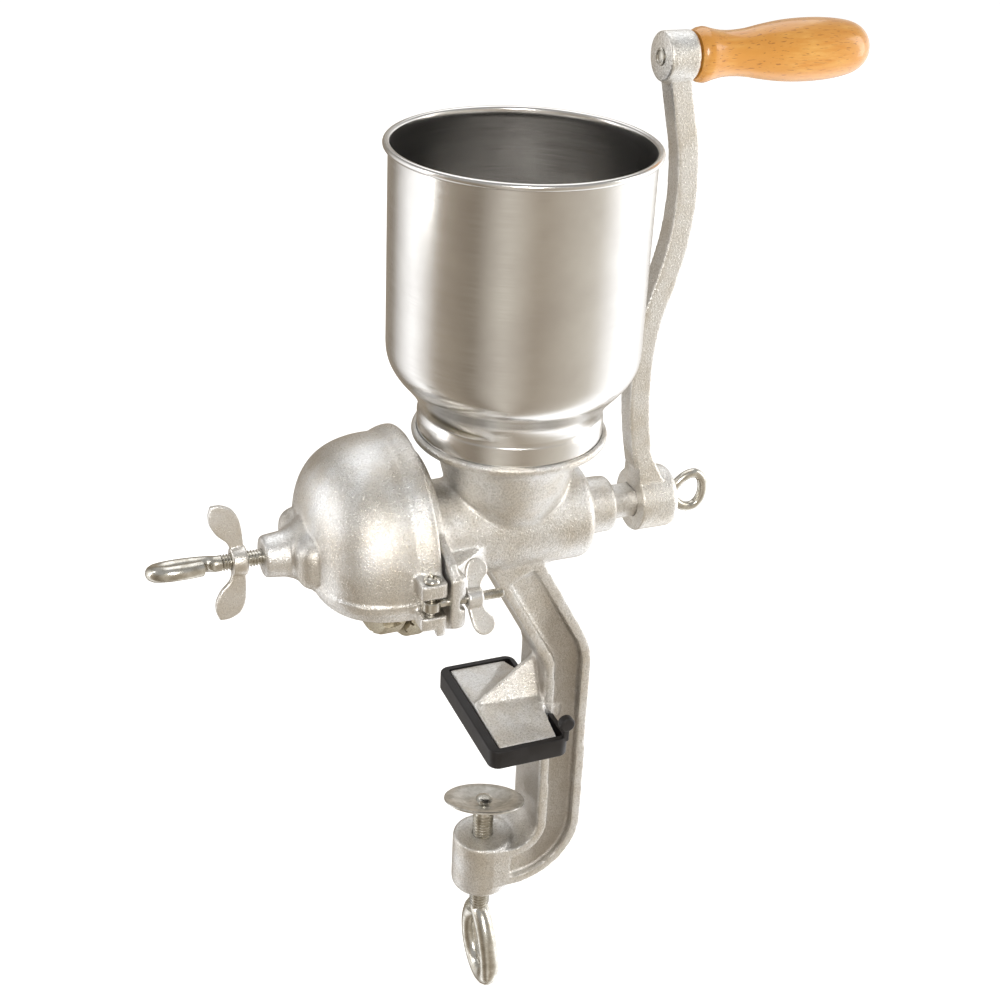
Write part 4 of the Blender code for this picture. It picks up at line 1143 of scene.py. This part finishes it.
# %% Moulded rubber
def moulded_rubber():
    material, tree, shader, spot = start_finish("moulded_black_rubber")
    bloom = add_node(tree, "ShaderNodeTexNoise", {"Vector": spot, "Scale": per_mm(9), "Detail": 4})
    fine = add_node(tree, "ShaderNodeTexNoise", {"Vector": spot, "Scale": per_mm(0.5), "Detail": 2})
    tone = add_node(tree, "ShaderNodeMapRange", {0: bloom.outputs["Fac"], 1: 0.4, 2: 0.7})
    colour = add_node(tree, "ShaderNodeMix", {0: tone.outputs[0], 6: hex_colour("#161314"),
                                              7: hex_colour("#242122")}, data_type="RGBA")
    tree.links.new(colour.outputs[2], shader.inputs["Base Color"])
    shine = add_node(tree, "ShaderNodeMapRange", {0: bloom.outputs["Fac"], 1: 0.3, 2: 0.7, 3: 0.42,
                                                  4: 0.6})
    tree.links.new(shine.outputs[0], shader.inputs["Roughness"])
    bumps = add_node(tree, "ShaderNodeBump", {"Height": fine.outputs["Fac"], "Strength": 0.35,
                                              "Distance": 0.06 * MM})
    tree.links.new(bumps.outputs["Normal"], shader.inputs["Normal"])
    return material


boot_rubber = moulded_rubber()
print("finishes:", len(bpy.data.materials))

# %% [markdown]
# ## Riding on the frame
#
# Each piece takes its finish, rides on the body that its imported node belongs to, and stands for that
# node. Soft shading runs over every face pair that meets at less than 35 degrees, so machined edges
# stay crisp.

# %% Hang every piece on its body
def hang(piece, name, material, body, slot, node, sharp=35):
    """Names and finishes a piece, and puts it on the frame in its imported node's place."""
    pick(piece)
    bpy.ops.object.shade_smooth_by_angle(angle=math.radians(sharp))
    piece.name = name
    piece.data.name = name
    piece.data.materials.clear()
    piece.data.materials.append(material)
    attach(piece, body)
    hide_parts(node)


IRON, SHEET_STEEL, ZINC = "tinned_cast_iron", "spun_steel", "zinc_plated_steel"
BURR, RUBBER, WOOD = "bare_burr_iron", "black_rubber", "varnished_hardwood"
PIECES = [
    (housing_casting, "housing_casting", housing_tin, "housing", IRON, "body_casting"),
    (domed_cover, "domed_cover", cover_tin, "housing", IRON, "front_cover"),
    (rubber_boot, "rubber_jaw_boot", boot_rubber, "housing", RUBBER, "jaw_boot"),
    (spun_hopper, "spun_hopper", hopper_tin, "hopper_body", SHEET_STEEL, "hopper"),
    (fixed_plate, "fixed_burr_plate", burr_iron, "housing", BURR, "stationary_burr"),
    (worm_shaft, "worm_and_shaft", housing_tin, "rotor", IRON, "worm_auger"),
    (turning_plate, "turning_burr_plate", burr_iron, "rotor", BURR, "rotating_burr"),
    (drive_pin, "drive_pin", dull_zinc, "rotor", ZINC, "burr_drive_pin"),
    (steel_ball, "steel_thrust_ball", bright_zinc, "thrust_bearing", ZINC, "thrust_ball"),
    (adjusting_eye_screw, "adjusting_eye_screw", bright_zinc, "adjuster", ZINC, "adjusting_screw"),
    (wing_lock_nut, "wing_lock_nut", small_tin, "lock_nut", ZINC, "adjusting_lock_nut"),
    (crank_casting, "crank_casting", crank_tin, "rotor", IRON, "crank_arm"),
    (eye_lock_screw, "hub_eye_screw", bright_zinc, "crank_lock", ZINC, "crank_eye_screw"),
    (riveted_pin, "riveted_grip_pin", bright_zinc, "rotor", ZINC, "grip_pin"),
    (pin_washer, "grip_pin_washer", dull_zinc, "rotor", ZINC, "grip_washer"),
    (turned_grip, "turned_grip", grip_wood, "grip", WOOD, "wooden_grip"),
    (clamp_eye_screw, "clamp_eye_screw", bright_zinc, "clamp_spindle", ZINC, "clamp_screw"),
    (clamp_ring, "clamp_ring", dull_zinc, "clamp_bearing", ZINC, "clamp_washer"),
    (clamp_pad, "clamp_pressure_disc", dull_zinc, "clamp_pad", ZINC, "clamp_disc")]
for number, screw in enumerate(plate_screws, 1):
    PIECES.append((screw, f"burr_plate_screw_{number}", dull_zinc, "housing", ZINC,
                   f"burr_screw_{number}"))
for word, (pivot, bolt, nut) in swing_gear.items():
    PIECES += [(pivot, f"pivot_screw_{word}", bright_zinc, "housing", ZINC, f"cover_pivot_screw_{word}"),
               (bolt, f"eye_bolt_{word}", bright_zinc, f"{word}_bolt", ZINC, f"swing_bolt_{word}"),
               (nut, f"wing_nut_{word}", small_tin, f"{word}_wing_nut", ZINC, f"swing_wing_nut_{word}")]
for entry in PIECES:
    hang(*entry)

# %% [markdown]
# ## Studio
#
# A pale floor, a few soft panels, and a camera at three-quarter view from the near left, looking down 28
# degrees. Polished metal shows what stands around it. The floor stays out of reflections, and the room
# shows in them instead: white walls to the left and right, and warm grey ones between, as soft upright
# bands. A radial gradient runs once round the room, and the ramp's positions are shares of that turn.
# Looked at directly, the room is plain and pale like the floor.

# %% Floor
clear()
FLOOR_Z = cad_box[0][2] - 0.001
bpy.ops.mesh.primitive_circle_add(vertices=64, radius=6, fill_type="NGON", location=(0, 0, FLOOR_Z))
floor = bpy.context.object
floor.name = "studio_floor"
floor.visible_glossy = False
floor_paint, _, floor_shader, _ = start_finish("pale_floor")
floor_shader.inputs["Base Color"].default_value = hex_colour("#F6F5F3")
floor_shader.inputs["Roughness"].default_value = 0.8
floor_shader.inputs["Emission Color"].default_value = hex_colour("#FFFFFF")
floor_shader.inputs["Emission Strength"].default_value = 0.6
floor.data.materials.append(floor_paint)


# %% Soft panels
def softbox(name, location, size, power, colour):
    """A rectangular lamp that faces the middle of the mill."""
    clear()
    bpy.ops.object.light_add(type="AREA", location=location)
    lamp = bpy.context.object
    lamp.name = name
    lamp.data.shape = "RECTANGLE"
    lamp.data.size, lamp.data.size_y = size
    lamp.data.energy = power
    lamp.data.color = hex_colour(colour)[:3]
    lamp.rotation_euler = (Vector(MIDDLE) - Vector(location)).to_track_quat("-Z", "Y").to_euler()


MIDDLE = (0, 0, 0.13)
PANELS = [("key_panel", (-0.42, -1.3, 0.9), (0.4, 0.6), 9, "#FFFDF9"),
          ("right_panel", (1.5, -0.5, 0.5), (0.5, 1.4), 7, "#FFFBF5"),
          ("left_strip", (-1.3, 0.35, 0.4), (0.2, 1.2), 3, "#FFFFFF"),
          ("top_panel", (0.3, 0.9, 1.9), (1.8, 1.8), 13, "#FFFFFF")]
for panel in PANELS:
    softbox(*panel)
print("panels:", len(PANELS))

# %% Room
WHITE, PALE, STONE, SLATE = "#FFFFFF", "#B8B2A8", "#8E8476", "#70675B"
WALLS = [(0.0, STONE), (0.12, SLATE), (0.22, WHITE), (0.3, STONE), (0.4, SLATE), (0.47, PALE),
         (0.55, STONE), (0.7, PALE), (0.78, WHITE), (0.88, WHITE), (1.0, STONE)]
world = bpy.data.worlds.new("studio_room")
bpy.context.scene.world = world
world.use_nodes = True
room = world.node_tree
ground = room.nodes["Background"]
sight = add_node(room, "ShaderNodeTexCoord", {})
facing = add_node(room, "ShaderNodeMapping", {"Vector": sight.outputs["Generated"],
                                              "Rotation": (0, 0, math.radians(113.3))})
sweep = add_node(room, "ShaderNodeTexGradient", {"Vector": facing.outputs["Vector"]},
                 gradient_type="RADIAL")
walls = add_node(room, "ShaderNodeValToRGB", {"Fac": sweep.outputs["Fac"]})
for position, colour in WALLS[1:-1]:
    walls.color_ramp.elements.new(position)
for stop, (position, colour) in zip(walls.color_ramp.elements, WALLS):
    stop.position = position
    stop.color = hex_colour(colour)
split = add_node(room, "ShaderNodeSeparateXYZ", {"Vector": sight.outputs["Generated"]})
height = add_node(room, "ShaderNodeMapRange", {0: split.outputs["Z"], 1: 0.05, 2: 0.55})
ceiling = add_node(room, "ShaderNodeMix", {0: height.outputs[0], 6: walls.outputs["Color"],
                                           7: hex_colour("#8C8B89")}, data_type="RGBA")
rays = add_node(room, "ShaderNodeLightPath", {})
backdrop = add_node(room, "ShaderNodeMix", {0: rays.outputs["Is Camera Ray"], 6: ceiling.outputs[2],
                                            7: hex_colour("#CCCBC9")}, data_type="RGBA")
room.links.new(backdrop.outputs[2], ground.inputs["Color"])
ground.inputs["Strength"].default_value = 1.6
bpy.context.scene.view_settings.view_transform = "Standard"
print("wall bands:", len(WALLS))

# %% Camera
HEADING = math.radians(23.29)
LOOK_DOWN = math.radians(28.47)
ROLL = math.radians(2.93)
clear()
bpy.ops.object.camera_add(location=(-0.2879, -0.6696, 0.5364))
camera = bpy.context.object
aim = (Matrix.Rotation(-HEADING, 4, "Z") @ Matrix.Rotation(math.radians(90) - LOOK_DOWN, 4, "X")
       @ Matrix.Rotation(ROLL, 4, "Z"))
camera.rotation_euler = aim.to_euler()
camera.data.lens = 57.6
camera.data.sensor_width = 36
camera.data.clip_start = 0.01
bpy.context.scene.camera = camera
print("camera at", [round(value, 3) for value in camera.location])
